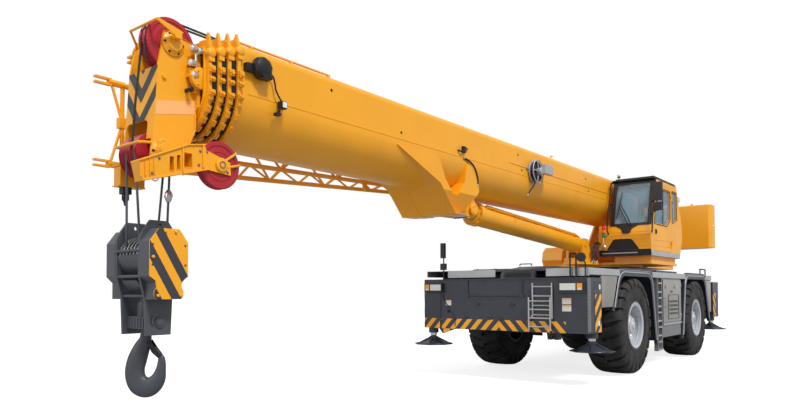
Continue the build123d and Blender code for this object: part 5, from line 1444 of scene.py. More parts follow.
@dataclass
class Fenders(Assembly):
    """Bright edges, panels, cabinet and trims of one side of the carrier: 1 is the left, -1 the right."""

    side: int
    face_y: float = 1.59
    # (x, z) of each wheel arch, from its front foot to its rear foot
    arches: tuple[tuple[Flat, ...], ...] = (
        ((3.33, 1.27), (3.06, 1.895), (1.245, 1.895), (0.975, 0.57)),
        ((-0.96, 0.57), (-1.205, 1.895), (-2.98, 1.895), (-3.37, 0.86)))
    corner: float = 0.26
    trim: float = 0.072
    rung_first: float = 0.5
    rung_pitch: float = 0.298
    body: str = "carrier"

    def span(self, low: float, high: float) -> Flat:
        """Y span between two distances proud of the carrier's side."""
        return sided(self.side, self.face_y + low, self.face_y + high)

    def arch_edges(self) -> None:
        """A bright rounded lip along each wheel arch, with a flat face inside it."""
        shape = self.piece(f"arch_lips_{side_name(self.side)}", Coat.LIGHT)
        flange = self.piece(f"arch_faces_{side_name(self.side)}", Coat.SLATE)
        shifts = ((-self.trim, 0), (-self.trim, -self.trim), (self.trim, -self.trim), (self.trim, 0))
        for outline in self.arches:
            inner = [(x + a, z + b) for (x, z), (a, b) in zip(outline, shifts)]
            line = softened(outline, self.corner, closed=False, steps=7)
            inside = softened(inner, self.corner - 0.05, closed=False, steps=7)
            shape.tube([(x, self.side * (self.face_y + 0.001), z) for x, z in line], 0.013, 8)
            for a, b, c, d in zip(line, line[1:], inside, inside[1:]):
                flange.plate([a, b, d, c], "y", self.span(-0.004, 0.002))

    def edges(self) -> None:
        """Bright deck edge, side panels and the step line of the cabinets."""
        shape = self.piece(f"deck_edge_{side_name(self.side)}", Coat.LIGHT, 0.003)
        for x in ((-3.58, -3.0), (-1.19, 1.22), (3.08, 4.44)):
            shape.block(x, self.span(-0.002, 0.01), (1.82, 1.928))
        shape.block((-3.58, 4.44), self.span(-0.045, 0.006), (1.922, 1.932))
        shape.block((-0.8, 0.55), self.span(0, 0.016), (0.842, 0.872))
        panel = self.piece(f"side_panels_{side_name(self.side)}", Coat.MIRROR, 0.002)
        for outline in ([(3.925, 1.28), (3.36, 1.28), (3.11, 1.81), (3.925, 1.81)],
                        [(-3.1, 1.81), (-3.36, 1.02), (-3.56, 1.02), (-3.56, 1.81)]):
            panel.plate(outline, "y", self.span(-0.03, 0.0))
        panel.block((-0.785, 0.535), self.span(0, 0.006), (0.9, 1.785))
        panel.block((0.6, 0.63), self.span(0, 0.006), (0.62, 1.79))

    def cabinet(self) -> None:
        """Embossed grid, grille, handles, hinges and lock of the cabinet door."""
        face = self.face_y + 0.006
        grid = self.piece(f"cabinet_grid_{side_name(self.side)}", Coat.STRIPE, 0.001)
        for row in range(4):
            for column in range(6):
                x, z = -0.52 + column * 0.105, 1.05 + row * 0.085
                grid.block((x, x + 0.078), self.span(0.006, 0.009), (z, z + 0.042))
        for x in (-0.6, 0.16):
            grid.block((x, x + 0.012), self.span(0.006, 0.012), (0.95, 1.47))
        for z in (0.95, 1.46):
            grid.block((-0.6, 0.172), self.span(0.006, 0.012), (z, z + 0.012))
        grid.block((-0.125, 0.005), self.span(0.006, 0.01), (1.515, 1.555))
        metal = self.piece(f"cabinet_handles_{side_name(self.side)}", Coat.TRIM_BRIGHT, 0.002)
        for x in (-0.4, 0.26):
            metal.blocks(((x, x + 0.1), self.span(0.006, 0.026), (1.6, 1.67)),
                         ((x + 0.02, x + 0.08), self.span(0.026, 0.036), (1.61, 1.63)))
        for z in (1.02, 1.68):
            metal.disc((-0.77, self.side * face, z - 0.04), "z", 0.011, 0.08, 12)
        handle = ((0, 1.22), (0.035, 1.22), (0.035, 1.4), (0, 1.4))
        metal.tube([(0.44, self.side * (face + out), z) for out, z in handle], 0.008, bend=0.012)
        metal.bolts((0, self.side, 0), 0.009, 0.006, *[(x, self.side * self.face_y, 0.72)
            for x in (-0.7, -0.3, 0.1, 0.45)])

    def rungs(self) -> None:
        """Toothed bright treads of the side ladder."""
        shape = self.piece(f"ladder_treads_{side_name(self.side)}", Coat.TRIM_BRIGHT, 0.002)
        y = self.span(-0.04, 0.006)
        for number in range(5):
            z = self.rung_first + number * self.rung_pitch
            shape.block((0.62, 0.84), y, (z, z + 0.028))
            for tooth in range(6):
                x = 0.632 + tooth * 0.036
                shape.block((x, x + 0.012), y, (z + 0.028, z + 0.036))

    def draw(self) -> None:
        """Draws the side's pieces."""
        for part in (self.arch_edges, self.edges, self.cabinet, self.rungs):
            part()


@dataclass
class Wheel(Assembly):
    """Tyre with slanting lugs, and the fittings of one rim."""

    corner: str
    x: float
    side: int
    radius: float = 0.91
    y: float = 1.245
    half: float = 0.35
    lugs: int = 24
    skew_deg: float = 7.0
    # half width and radius of the casing from bead to tread
    casing: tuple[Flat, ...] = (
        (0.302, 0.426), (0.322, 0.446), (0.338, 0.51), (0.345, 0.59), (0.344, 0.67), (0.336, 0.75),
        (0.318, 0.812), (0.29, 0.842), (0.23, 0.858), (0.12, 0.866))
    # distance from the middle, top and foot radius, share of the pitch
    lug: tuple[tuple[float, float, float, float], ...] = (
        (-0.012, 0.91, 0.85, 0.72), (0.1, 0.909, 0.85, 0.72), (0.21, 0.903, 0.84, 0.74),
        (0.275, 0.893, 0.82, 0.76), (0.318, 0.868, 0.8, 0.76), (0.342, 0.828, 0.77, 0.72),
        (0.348, 0.78, 0.735, 0.62))
    nut_y: float = 0.112
    cap_y: float = 0.25
    sides: int = 56

    @property
    def body(self) -> str:
        """The CAD body that the wheel's pieces ride on."""
        return f"wheel_{self.corner}"

    def point(self, reach: float, angle: float, out: float) -> Point:
        """A point round the wheel, from the middle plane towards either side."""
        return (self.x + reach * cos(angle), self.side * self.y + out, self.radius + reach * sin(angle))

    def tyre(self) -> None:
        """Casing and lugs, in place of the plain tyre."""
        shape = self.piece(f"tyre_{self.corner}_lugs", Coat.RUBBER, smooth=28, replaced=f"tyre_{self.corner}")
        profile = [(r, -w) for w, r in self.casing] + [(r, w) for w, r in self.casing[::-1]]
        shape.lathe(self.point(0, 0, 0), "y", profile, 60, caps=False)
        for way in SIDES:
            for middle in even(self.lugs, pi / self.lugs if way > 0 else 0.0):
                rings = []
                for out, top, foot, share in self.lug:
                    angle = middle + radians(self.skew_deg) * out / self.half
                    wide = pi / self.lugs * share
                    ring = ((foot, -1), (top, -0.93), (top, 0), (top, 0.93), (foot, 1))
                    rings.append([self.point(reach, angle + turn * wide, way * out) for reach, turn in ring])
                shape.loft([ring[::way] for ring in rings])
            for ring, out in ((0.505, 0.337), (0.715, 0.339)):
                shape.hoop(self.point(0, 0, way * out), "y", ring, 0.0055, self.sides)

    def rim(self) -> None:
        """Flange, lock ring, wheel nuts, hub cap and valve on the outer side."""
        hub = self.point(0, 0, 0)
        axis = (0, self.side, 0)
        shape = self.piece(f"rim_rings_{self.corner}", Coat.SILVER)
        for profile in ([(0.424, 0.3), (0.43, 0.319), (0.427, 0.329), (0.416, 0.332), (0.402, 0.326),
                         (0.386, 0.32), (0.374, 0.316)],
                        [(0.371, 0.262), (0.361, 0.262), (0.359, 0.25), (0.371, 0.246)]):
            shape.lathe(hub, axis, profile, self.sides, caps=False)
        dark = self.piece(f"rim_details_{self.corner}", Coat.CAST)
        dark.lathe(hub, axis, [(0.43, 0.312), (0.44, 0.33), (0.452, 0.322)], self.sides, caps=False)
        dark.bolts(axis, 0.016, 0.03, *[self.point(0.278, turn, self.side * self.nut_y)
            for turn in even(12, 0.2)])
        cap = self.piece(f"hub_cap_{self.corner}", Coat.SILVER)
        cap.lathe(self.point(0, 0, self.side * self.cap_y), axis,
                  [(0.145, -0.004), (0.145, 0.01), (0.115, 0.014), (0.075, 0.03), (0.07, 0.042),
                   (0.035, 0.048)], 32)
        cap.bolts(axis, 0.01, 0.008, *[self.point(0.128, turn, self.side * (self.cap_y + 0.008))
            for turn in even(12)])
        cap.tube([self.point(0.355, 2.2, self.side * 0.12), self.point(0.355, 2.2, self.side * 0.2)], 0.006)

    def draw(self) -> None:
        """Draws one wheel's pieces."""
        self.tyre()
        self.rim()


# ---------------------------------------------------------------- cab


@dataclass
class Cab(Assembly):
    """Dark glass surround, skirts, rails, lamps and seat of the cab."""

    # (x, z) of the front face's bends
    brow: Flat = (0.425, 3.94)
    knee: Flat = (0.755, 2.75)
    foot: Flat = (0.72, 2.29)
    left_y: float = 1.43
    roof_z: float = 3.94
    seat_y: float = 1.01
    tower: Flat = (0.8, 0.46)
    wheel_hub: Point = (0.2, 1.01, 3.02)
    body: str = "turntable"

    def face_x(self, z: float) -> float:
        """X of the cab's front face at a height."""
        (x0, z0), (x1, z1) = (self.knee, self.brow) if z > self.knee[1] else (self.foot, self.knee)
        return x0 + (x1 - x0) * (z - z0) / (z1 - z0)

    def on_front(self, shape: Shape, outline: Sequence[Flat], low: float, high: float) -> None:
        """Lays an outline (y, z) on the front face between two distances proud of it."""
        shape.slab([(self.face_x(z) + low, y, z) for y, z in outline], (high - low, 0, 0))

    def before(self, y: float, z: float, out: float = 0.022) -> Point:
        """A point at a distance before the front face."""
        return (self.face_x(z) + out, y, z)

    def front(self) -> None:
        """Black surround and pillars, orange apron, bare dark panel and foot cut-out."""
        cover = self.piece("cab_apron", Coat.ORANGE, 0.003)
        self.on_front(cover, [(0.585, 2.79), (1.425, 2.79), (1.425, 2.962), (0.585, 2.962)], -0.004, 0.008)
        for z in (2.43, 2.66):
            cover.tube([self.before(y, z, 0.001) for y in (0.345, 1.425)], 0.004, 6)
        shape = self.piece("cab_surround", Coat.BLACK, 0.004)
        for strip in ([(0.574, 2.93), (0.665, 2.96), (0.655, 3.86), (0.574, 3.935)],
                      [(1.345, 2.96), (1.428, 2.93), (1.428, 3.935), (1.352, 3.86)],
                      [(0.574, 3.935), (0.655, 3.845), (1.352, 3.845), (1.428, 3.935)],
                      [(0.6, 2.93), (0.7, 2.93), (1.25, 2.93), (1.4, 2.93), (1.36, 2.985), (0.655, 2.985)]):
            self.on_front(shape, strip, 0.006, 0.014)
        bare = [(0.66, 2.95), (0.81, 2.865), (0.85, 2.765), (1.0, 2.765), (1.04, 2.865), (1.2, 2.95)]
        notch = [(0.5, 2.43), (0.64, 2.635), (0.7, 2.655), (0.98, 2.655), (1.05, 2.635), (1.19, 2.43)]
        self.on_front(shape, softened(bare, 0.035), 0.007, 0.016)
        self.on_front(shape, softened(notch, 0.02), -0.002, 0.006)
        self.on_front(shape, [(0.335, 2.292), (1.428, 2.292), (1.428, 2.428), (0.335, 2.428)], -0.004, 0.014)
        shape.block((0.72, 0.775), (0.4, 1.2), (2.285, 2.325))
        pillar = [(self.face_x(z) - back, z) for z, back in ((2.96, 0.0), (3.93, 0.0), (3.93, 0.045),
            (2.96, 0.06))]
        shape.plate(pillar, "y", (self.left_y, self.left_y + 0.005))
        step = self.piece("cab_step_edge", Coat.LIGHT, 0.002)
        step.block((0.768, 0.781), (0.42, 1.16), (2.345, 2.365))
        step.plate([(0.722, 2.292), (-1.34, 2.292), (-1.37, 2.392), (0.73, 2.392)], "y",
                   (self.left_y, self.left_y + 0.01))

    def wipers(self) -> None:
        """Wiper arms, blade and washer on the windscreen."""
        shape = self.piece("cab_wipers", Coat.BLACK)
        for spots, radius in ((((1.02, 2.945), (0.98, 3.03), (0.76, 3.42)), 0.009),
                (((0.96, 2.945), (0.92, 3.03), (0.73, 3.37)), 0.007),
                (((0.7, 3.1, 0.016), (0.745, 3.4, 0.02), (0.775, 3.68, 0.016)), 0.009)):
            shape.tube([self.before(*spot) for spot in spots], radius, 6)
        shape.lathe(self.before(1.02, 2.945, 0.0), "x", [(0.024, 0), (0.024, 0.03), (0.012, 0.036)], 14)
        shape.lathe(self.before(0.96, 2.945, 0.0), "x", [(0.018, 0), (0.018, 0.03), (0.01, 0.034)], 14)

    def rails(self) -> None:
        """Curved hand rails beside the windscreen."""
        shape = self.piece("cab_rails", Coat.BLACK)
        for y, out in ((self.left_y, 1.475), (0.57, 0.535)):
            shape.tube([(0.42, y, 3.9), (0.5, out, 3.92), (0.6, out, 3.65), (0.775, out, 3.02),
                        (0.8, out, 2.84), (0.745, (y + out) / 2, 2.76)], 0.015, 10, bend=0.06)
            shape.tube([self.before(y, 3.42, 0.0), self.before(out, 3.42, 0.07)], 0.011, 8)
        shape.tube([(0.69, 1.43, 3.4), (0.7, 1.54, 3.43), (0.7, 1.58, 3.58)], 0.012, 8, bend=0.03)

    def roof(self) -> None:
        """The visor, the roof's dark edge and bars, the aerial and the beacon."""
        roof = self.piece("cab_visor", Coat.BLACK, 0.006)
        roof.plate([(0.2, 3.945), (0.5, 3.915), (0.53, 3.925), (0.5, 3.955), (0.2, 3.965)], "y",
                   (0.56, 1.445))
        for y in ((1.395, 1.445), (0.57, 0.6)):
            roof.block((-1.05, 0.42), y, (3.935, 3.958))
        for x in (-0.9, -0.5, -0.1):
            roof.block((x, x + 0.04), (0.6, 1.4), (self.roof_z, 3.952))
        roof.tube([(0.33, 0.64, self.roof_z), (0.33, 0.64, 4.035)], 0.01, 8)
        roof.lathe((0.33, 0.64, 4.03), "z", [(0.036, 0), (0.036, 0.02), (0.03, 0.024)], 20)
        roof.tube([(-0.42, 0.92, self.roof_z), (-0.44, 0.92, 4.11)], 0.005, 6)
        beacon = self.piece("cab_beacon", Coat.LENS_CLEAR)
        beacon.ball((0.33, 0.64, 4.084), 0.04)
        beacon.lathe((-1.29, 1.445, 3.66), "z", [(0.03, -0.06), (0.038, -0.04), (0.038, 0.04), (0.03, 0.06)],
                     16)

    def light_tower(self) -> None:
        """Red, amber and green load lamps on a silver stalk."""
        (x, y), low, pitch = self.tower, 2.505, 0.085
        post = self.piece("load_lamp_post", Coat.TRIM_BRIGHT)
        post.tube([(0.75, y, low), (x, y, low), (x, y, 2.71)], 0.015, bend=0.02)
        post.lathe((0.74, y, low), "x", [(0.036, 0), (0.036, 0.025), (0.02, 0.04)], 20)
        dark = self.piece("load_lamp_bases", Coat.BLACK)
        for number in range(4):
            dark.lathe((x, y, 2.7 + number * pitch), "z",
                       [(0.032, 0), (0.034, 0.004), (0.034, 0.012), (0.032, 0.016)], 20)
        for number, coat in enumerate((Coat.LENS_GREEN, Coat.LENS_AMBER, Coat.LENS_RED)):
            lens = self.piece(f"load_lamp_{number + 1}", coat)
            lens.lathe((x, y, 2.715 + number * pitch), "z",
                       [(0.032, 0), (0.036, 0.01), (0.036, 0.06), (0.032, 0.071)], 20)

    def seal(self, shape: Shape, outline: Sequence[Flat], radius: float) -> None:
        """Rounds a window's outline (x, z) and lays a seal along it on the cab's left side."""
        line = softened(outline, 0.04)
        shape.tube([(x, self.left_y + 0.003, z) for x, z in line + line[:1]], radius, 6)

    def door(self) -> None:
        """Seal, sliding pane, oval handle, creases and grab bar of the door."""
        y = self.left_y
        seal = self.piece("door_seal", Coat.BLACK, body="cab_door")
        self.seal(seal, [(0.515, 2.965), (0.308, 3.765), (-0.63, 3.765), (-0.63, 3.12), (-0.39, 2.965)],
                  0.009)
        seal.tube([(-0.1, y + 0.002, 2.99), (-0.12, y + 0.002, 3.74)], 0.009, 6)
        seal.plate([(0.415 + 0.034 * cos(turn), 2.8 + 0.062 * sin(turn)) for turn in even(20)], "y",
                   (y, y + 0.01))
        seal.tube([(0.415, y + out, z) for out, z in ((0.012, 2.765), (0.022, 2.78), (0.022, 2.82),
            (0.012, 2.835))], 0.008, 6)
        crease = self.piece("door_creases", Coat.ORANGE, 0.001, body="cab_door")
        for z0, z1 in ((2.615, 2.655), (2.5, 2.52)):
            crease.tube([(0.6, y, z0), (-0.695, y, z1)], 0.005, 6)
        side = self.piece("cab_side_seals", Coat.BLACK)
        self.seal(side, [(-1.17, 3.165), (-0.785, 3.06), (-0.785, 3.795), (-1.14, 3.795)], 0.008)

    def pillow(self, name: str, centre: Point, size: Point, lean_deg: float, fill: float) -> None:
        """A crowned cushion with a piped seam.

        Args:
            name: the piece's name.
            centre: its middle.
            size: its length, width and depth.
            lean_deg: how far it leans back about the sideways axis.
            fill: how full it is; not used.
        """
        turn = Matrix.Rotation(radians(lean_deg), 3, "Y")
        layers, around, swell, pipe = 10, 40, 3.2, 0.035
        rings = []
        for level in (-1 + 2 * layer / layers for layer in range(layers + 1)):
            shrink = (1 - abs(level) ** swell * 0.999) ** (1 / swell)
            ring = []
            for angle in even(around):
                c, s = squared(angle, 0.45)
                wide = shrink * (1 - pipe * cos(2 * angle) ** 2) / 2
                crown = 1 + 0.1 * (1 - c * c) * (1 - s * s)
                ring.append(Vector(centre) + turn @ Vector((c * size[0] * wide, s * size[1] * wide,
                    level * size[2] / 2 * crown)))
            rings.append(ring)
        Shape(name, Coat.FABRIC, self.body, smooth=60).loft(rings).make()

    def seat(self) -> None:
        """Cushions, consoles, levers, dash and screen in place of the plain inside."""
        y = self.seat_y
        self.pillow("seat_cushion", (-0.4, y, 2.665), (0.5, 0.44, 0.12), 4, 0.7)
        self.pillow("seat_back", (-0.765, y, 3.0), (0.62, 0.44, 0.11), 78, 0.7)
        self.pillow("seat_headrest", (-0.875, y, 3.365), (0.14, 0.27, 0.09), 78, 0.8)
        shape = self.piece("cab_controls", Coat.TRIM, 0.008, replaced="cab_interior")
        shape.blocks(((-0.7, -0.12), (0.82, 1.2), (2.34, 2.58)),
                     ((-0.56, -0.06), (0.645, 0.735), (2.34, 2.84)),
                     ((-0.56, -0.06), (1.235, 1.315), (2.34, 2.84)),
                     ((0.42, 0.6), (0.86, 1.16), (2.34, 2.72)), ((-0.9, -0.84), (0.84, 1.18), (2.6, 3.28)),
                     ((0.3, 0.34), (0.68, 0.86), (2.92, 3.1)))
        shape.plate([(0.42, 2.7), (0.6, 2.7), (0.5, 2.9), (0.3, 2.96), (0.25, 2.94), (0.42, 2.84)], "y",
                    (0.86, 1.16))
        for lever_y in (0.69, 1.275):
            shape.lathe((-0.12, lever_y, 2.84), "z", [(0.034, 0), (0.022, 0.03), (0.014, 0.05),
                (0.014, 0.11), (0.024, 0.13), (0.026, 0.17), (0.014, 0.19)], 14)
        hub = Vector(self.wheel_hub)
        shape.hoop(hub, (0.45, 0, 1), 0.17, 0.012, 36, 8)
        for turn in even(3, pi / 2):
            shape.tube([hub, hub + Vector((0.91 * cos(turn), sin(turn), -0.41 * cos(turn))) * 0.165], 0.009,
                       6)
        shape.tube([hub, (0.33, y, 2.86)], 0.022)

    def draw(self) -> None:
        """Draws the cab's pieces."""
        for part in (self.front, self.wipers, self.rails, self.roof, self.light_tower, self.door, self.seat):
            part()


# ---------------------------------------------------------------- deck, upper works and underside


@dataclass
class Deck(Assembly):
    """Tread plates, louvres, grilles, handles, exhaust and engine details."""

    top: float = 1.925
    # x and y of each tread plate
    treads: tuple[tuple[Flat, Flat], ...] = (
        ((3.08, 4.42), (-0.4, 0.04)), ((3.08, 4.42), (0.85, 1.54)), ((3.08, 4.42), (-1.54, -1.12)),
        ((0.85, 2.47), (-1.54, 1.54)), ((-1.6, -1.15), (-1.54, 1.54)), ((-3.53, -1.66), (0.84, 1.54)),
        ((-3.53, -1.66), (-1.54, -0.84)), ((-0.9, 0.6), (1.05, 1.54)), ((-0.9, 0.6), (-1.54, -1.05)))
    pipe: Flat = (-1.08, 2.03)
    rear_x: float = -4.35
    body: str = "carrier"

    def plates(self) -> None:
        """Tread plates and the bright edges at the deck's ends."""
        plates = self.piece("deck_tread_plates", Coat.TREAD_PLATE, 0.001)
        for x, y in self.treads:
            plates.block(x, y, (self.top, self.top + 0.006))
        strips = self.piece("deck_front_edge", Coat.LIGHT, 0.003)
        strips.blocks(((4.43, 4.452), (-1.118, -0.118), (1.8, 1.932)),
                      ((4.43, 4.452), (0.844, 1.59), (1.8, 1.932)),
                      ((-3.574, -3.555), (-1.58, 1.58), (1.82, 1.93)))

    def hoods(self) -> None:
        """Louvres, handles, seams and plugs of the hoods."""
        louvres = self.piece("hood_louvres", Coat.BLACK, 0.001)
        for number in range(14):
            x = -3.38 + number * 0.055
            louvres.strip([(x, 2.048), (x + 0.03, 2.058)], (-0.66, 0.66), (0, 0, 0.004))
        for side in SIDES:
            for number in range(18):
                x = -3.4 + number * 0.088
                louvres.block((x, x + 0.05), sided(side, 0.798, 0.806), (1.955, 2.015))
        for number in range(6):
            z = 1.79 + number * 0.017
            louvres.block((4.528, 4.533), (0.1, 0.6), (z, z + 0.008))
        louvres.tube([(4.4, 0.34, 1.985), (4.4, 0.34, 2.02), (4.4, 0.56, 2.02), (4.4, 0.56, 1.985)], 0.009,
                     bend=0.015)
        louvres.tube([(3.04, -1.2, 1.93), (3.055, -1.2, 1.96), (3.055, -1.02, 1.96), (3.04, -1.02, 1.93)],
                     0.008)
        seams = self.piece("hood_seams", Coat.SLATE, 0.001)
        for x in (-2.95, -2.3):
            seams.block((x, x + 0.012), (-0.79, 0.79), (2.046, 2.054))
        for x in (3.5, 3.95):
            seams.block((x, x + 0.01), (0.07, 0.82), (1.984, 1.991))
        seams.block((2.52, 3.02), (-0.97, -0.95), (1.999, 2.008))
        for x in (2.62, 2.92):
            for y in (-1.4, -0.55):
                seams.lathe((x, y, 2.0), "z", [(0.026, 0), (0.026, 0.008), (0.012, 0.012)], 14)

    def exhaust(self) -> None:
        """The silencer with its straps and its bent end pipe."""
        y, z = self.pipe
        pipe = self.piece("exhaust_stack", Coat.TRIM_BRIGHT)
        pipe.lathe((-2.55, y, z), "x", [(0.05, -0.42), (0.11, -0.38), (0.11, 0.38), (0.05, 0.42)], 28)
        pipe.tube([(-2.13, y, z), (-2.02, y, z), (-2.02, y, 2.2), (-2.1, y, 2.26)], 0.045, 14, bend=0.05)
        for x in (-2.8, -2.32):
            pipe.hoop((x, y, z), "x", 0.112, 0.006, 28)
            pipe.block(about(x, 0.02), about(y, 0.06), (1.925, 1.95))

    def back(self) -> None:
        """Plugs, conduit, stripes and lamps of the rear plate."""
        rear = self.piece("rear_plate_fittings", Coat.SLATE, 0.002)
        for y, z in ((-0.9, 1.3), (-0.3, 1.15), (0.3, 1.15), (0.9, 1.3)):
            rear.lathe((self.rear_x, y, z), (-1, 0, 0), [(0.04, 0), (0.04, 0.008), (0.026, 0.014)], 20)
        rear.tube([(self.rear_x - 0.01, y, z) for y, z in ((-0.6, 1.74), (-0.6, 1.52), (0.6, 1.52),
            (0.6, 1.74))], 0.01, bend=0.03)
        marks = self.piece("rear_stripes", Coat.ORANGE)
        for way in SIDES:
            leaning(marks, (self.rear_x - 0.0025, self.rear_x - 0.0005),
                    [way * (0.055 + number * 0.215) for number in range(5)], way, (0.0, 1.18))
        lens = self.piece("rear_lamp_lenses", Coat.LENS_RED, 0.002)
        for low, high in ((-1.545, -1.155), (1.135, 1.555)):
            third = (high - low) / 3
            for start in (low, low + third, low + 2 * third):
                lens.block((-4.42, -4.41), (start + 0.01, start + third - 0.01), (1.56, 1.69))

    def engine(self) -> None:
        """Covers, injectors and pipes on the engine, and its pulley."""
        block = self.piece("engine_details", Coat.CAST, 0.004)
        for number in range(6):
            x = -3.2 + number * 0.23
            block.blocks(((x, x + 0.16), (-0.24, 0.24), (1.995, 2.02)),
                         ((x + 0.04, x + 0.12), (0.3, 0.37), (1.72, 1.8)))
            block.tube([(x + 0.08, 0.1, 2.02), (x + 0.08, 0.34, 1.98), (x + 0.08, 0.34, 1.8)], 0.012, 6,
                       bend=0.03)
        block.lathe((-3.36, 0, 1.55), (-1, 0, 0), [(0.15, 0), (0.15, 0.03), (0.05, 0.04), (0.05, 0.07)], 24)

    def draw(self) -> None:
        """Draws the deck's pieces."""
        for part in (self.plates, self.hoods, self.exhaust, self.back, self.engine):
            part()


@dataclass
class UpperWorks(Assembly):
    """Ropes on the winches, counterweight eyes, hoses, slew bolts and rails of the turntable."""

    winch_x: Flat = (-2.96, -3.66)
    winch_z: float = 2.56
    rope_pitch: float = 0.0272
    slew: Point = (-0.25, 0, 2.02)
    slew_reach: float = 0.8
    weight_x: float = -4.45
    body: str = "turntable"

    def winches(self) -> None:
        """Rope, hubs and bolts of both winches, and the slew ring's bolts."""
        rope = self.piece("winch_ropes", Coat.WIRE)
        drums = self.piece("winch_bolts", Coat.CAST)
        for x in self.winch_x:
            for number in range(26):
                rope.hoop((x, -0.34 + number * self.rope_pitch, self.winch_z), "y", 0.196, 0.0128, 32, 5)
            for side in SIDES:
                drums.lathe((x, side * 0.5, self.winch_z), (0, side, 0),
                            [(0.11, 0), (0.11, 0.035), (0.06, 0.06)], 24)
                drums.bolts((0, side, 0), 0.011, 0.012, *circle((x, side * 0.535, self.winch_z), "y", 0.09,
                    even(8)))
        for centre in circle(self.slew, "z", self.slew_reach, even(60)):
            drums.disc(centre, "z", 0.015, 0.05, 6)

    def weight(self) -> None:
        """Lifting eyes, lug and pins of the counterweight."""
        eyes = self.piece("counterweight_fittings", Coat.ORANGE, 0.003)
        pins = self.piece("counterweight_pins", Coat.TRIM_BRIGHT, 0.002)
        for side in SIDES:
            eyes.lathe((self.weight_x, side * 0.95, 3.85), "z",
                       [(0.09, -0.004), (0.09, 0.01), (0.07, 0.016)], 24)
            pins.lathe((self.weight_x, side * 1.5, 3.28), (0, side, 0),
                       [(0.028, -0.002), (0.028, 0.006), (0.012, 0.012)], 16)
        eyes.block((-4.14, -4.125), (-0.62, 0.62), (2.74, 2.86))

    def hoses(self) -> None:
        """Three red hoses beside the boom's foot and three dark ones at the luff cylinder's foot."""
        for number in range(3):
            y = 0.93 + number * 0.07
            hose(f"red_hose_{number + 1}", Coat.RED, self.body,
                 [(-1.5, y, 3.16), (-1.6, y, 3.15), (-1.71, y, 3.08), (-1.76, y - 0.02, 2.94),
                  (-1.76, y - 0.08, 2.78), (-1.75, y - 0.2, 2.64), (-1.74, y - 0.36, 2.57),
                  (-1.74, 0.52, 2.55)], 0.036)
            y = 0.25 + number * 0.05
            hose(f"foot_hose_{number + 1}", Coat.RUBBER, self.body,
                 [(0.56, y, 2.62), (0.7, y, 2.6), (0.84, y + 0.01, 2.52), (0.93, y + 0.02, 2.4),
                  (0.96, y + 0.02, 2.26), (0.96, y + 0.02, 2.17)], 0.036)

    def draw(self) -> None:
        """Draws the turntable's pieces."""
        self.winches()
        self.weight()
        self.hoses()
        grille = self.piece("right_box_grille", Coat.BLACK, 0.001)
        for number in range(9):
            z = 2.26 + number * 0.034
            grille.block((-1.4, -0.4), (-1.4745, -1.468), (z, z + 0.015))
        grille.tube([(x, -1.2, z) for x, z in ((-1.3, 2.62), (-1.3, 2.66), (-1.1, 2.66), (-1.1, 2.62))],
                    0.008, bend=0.01)


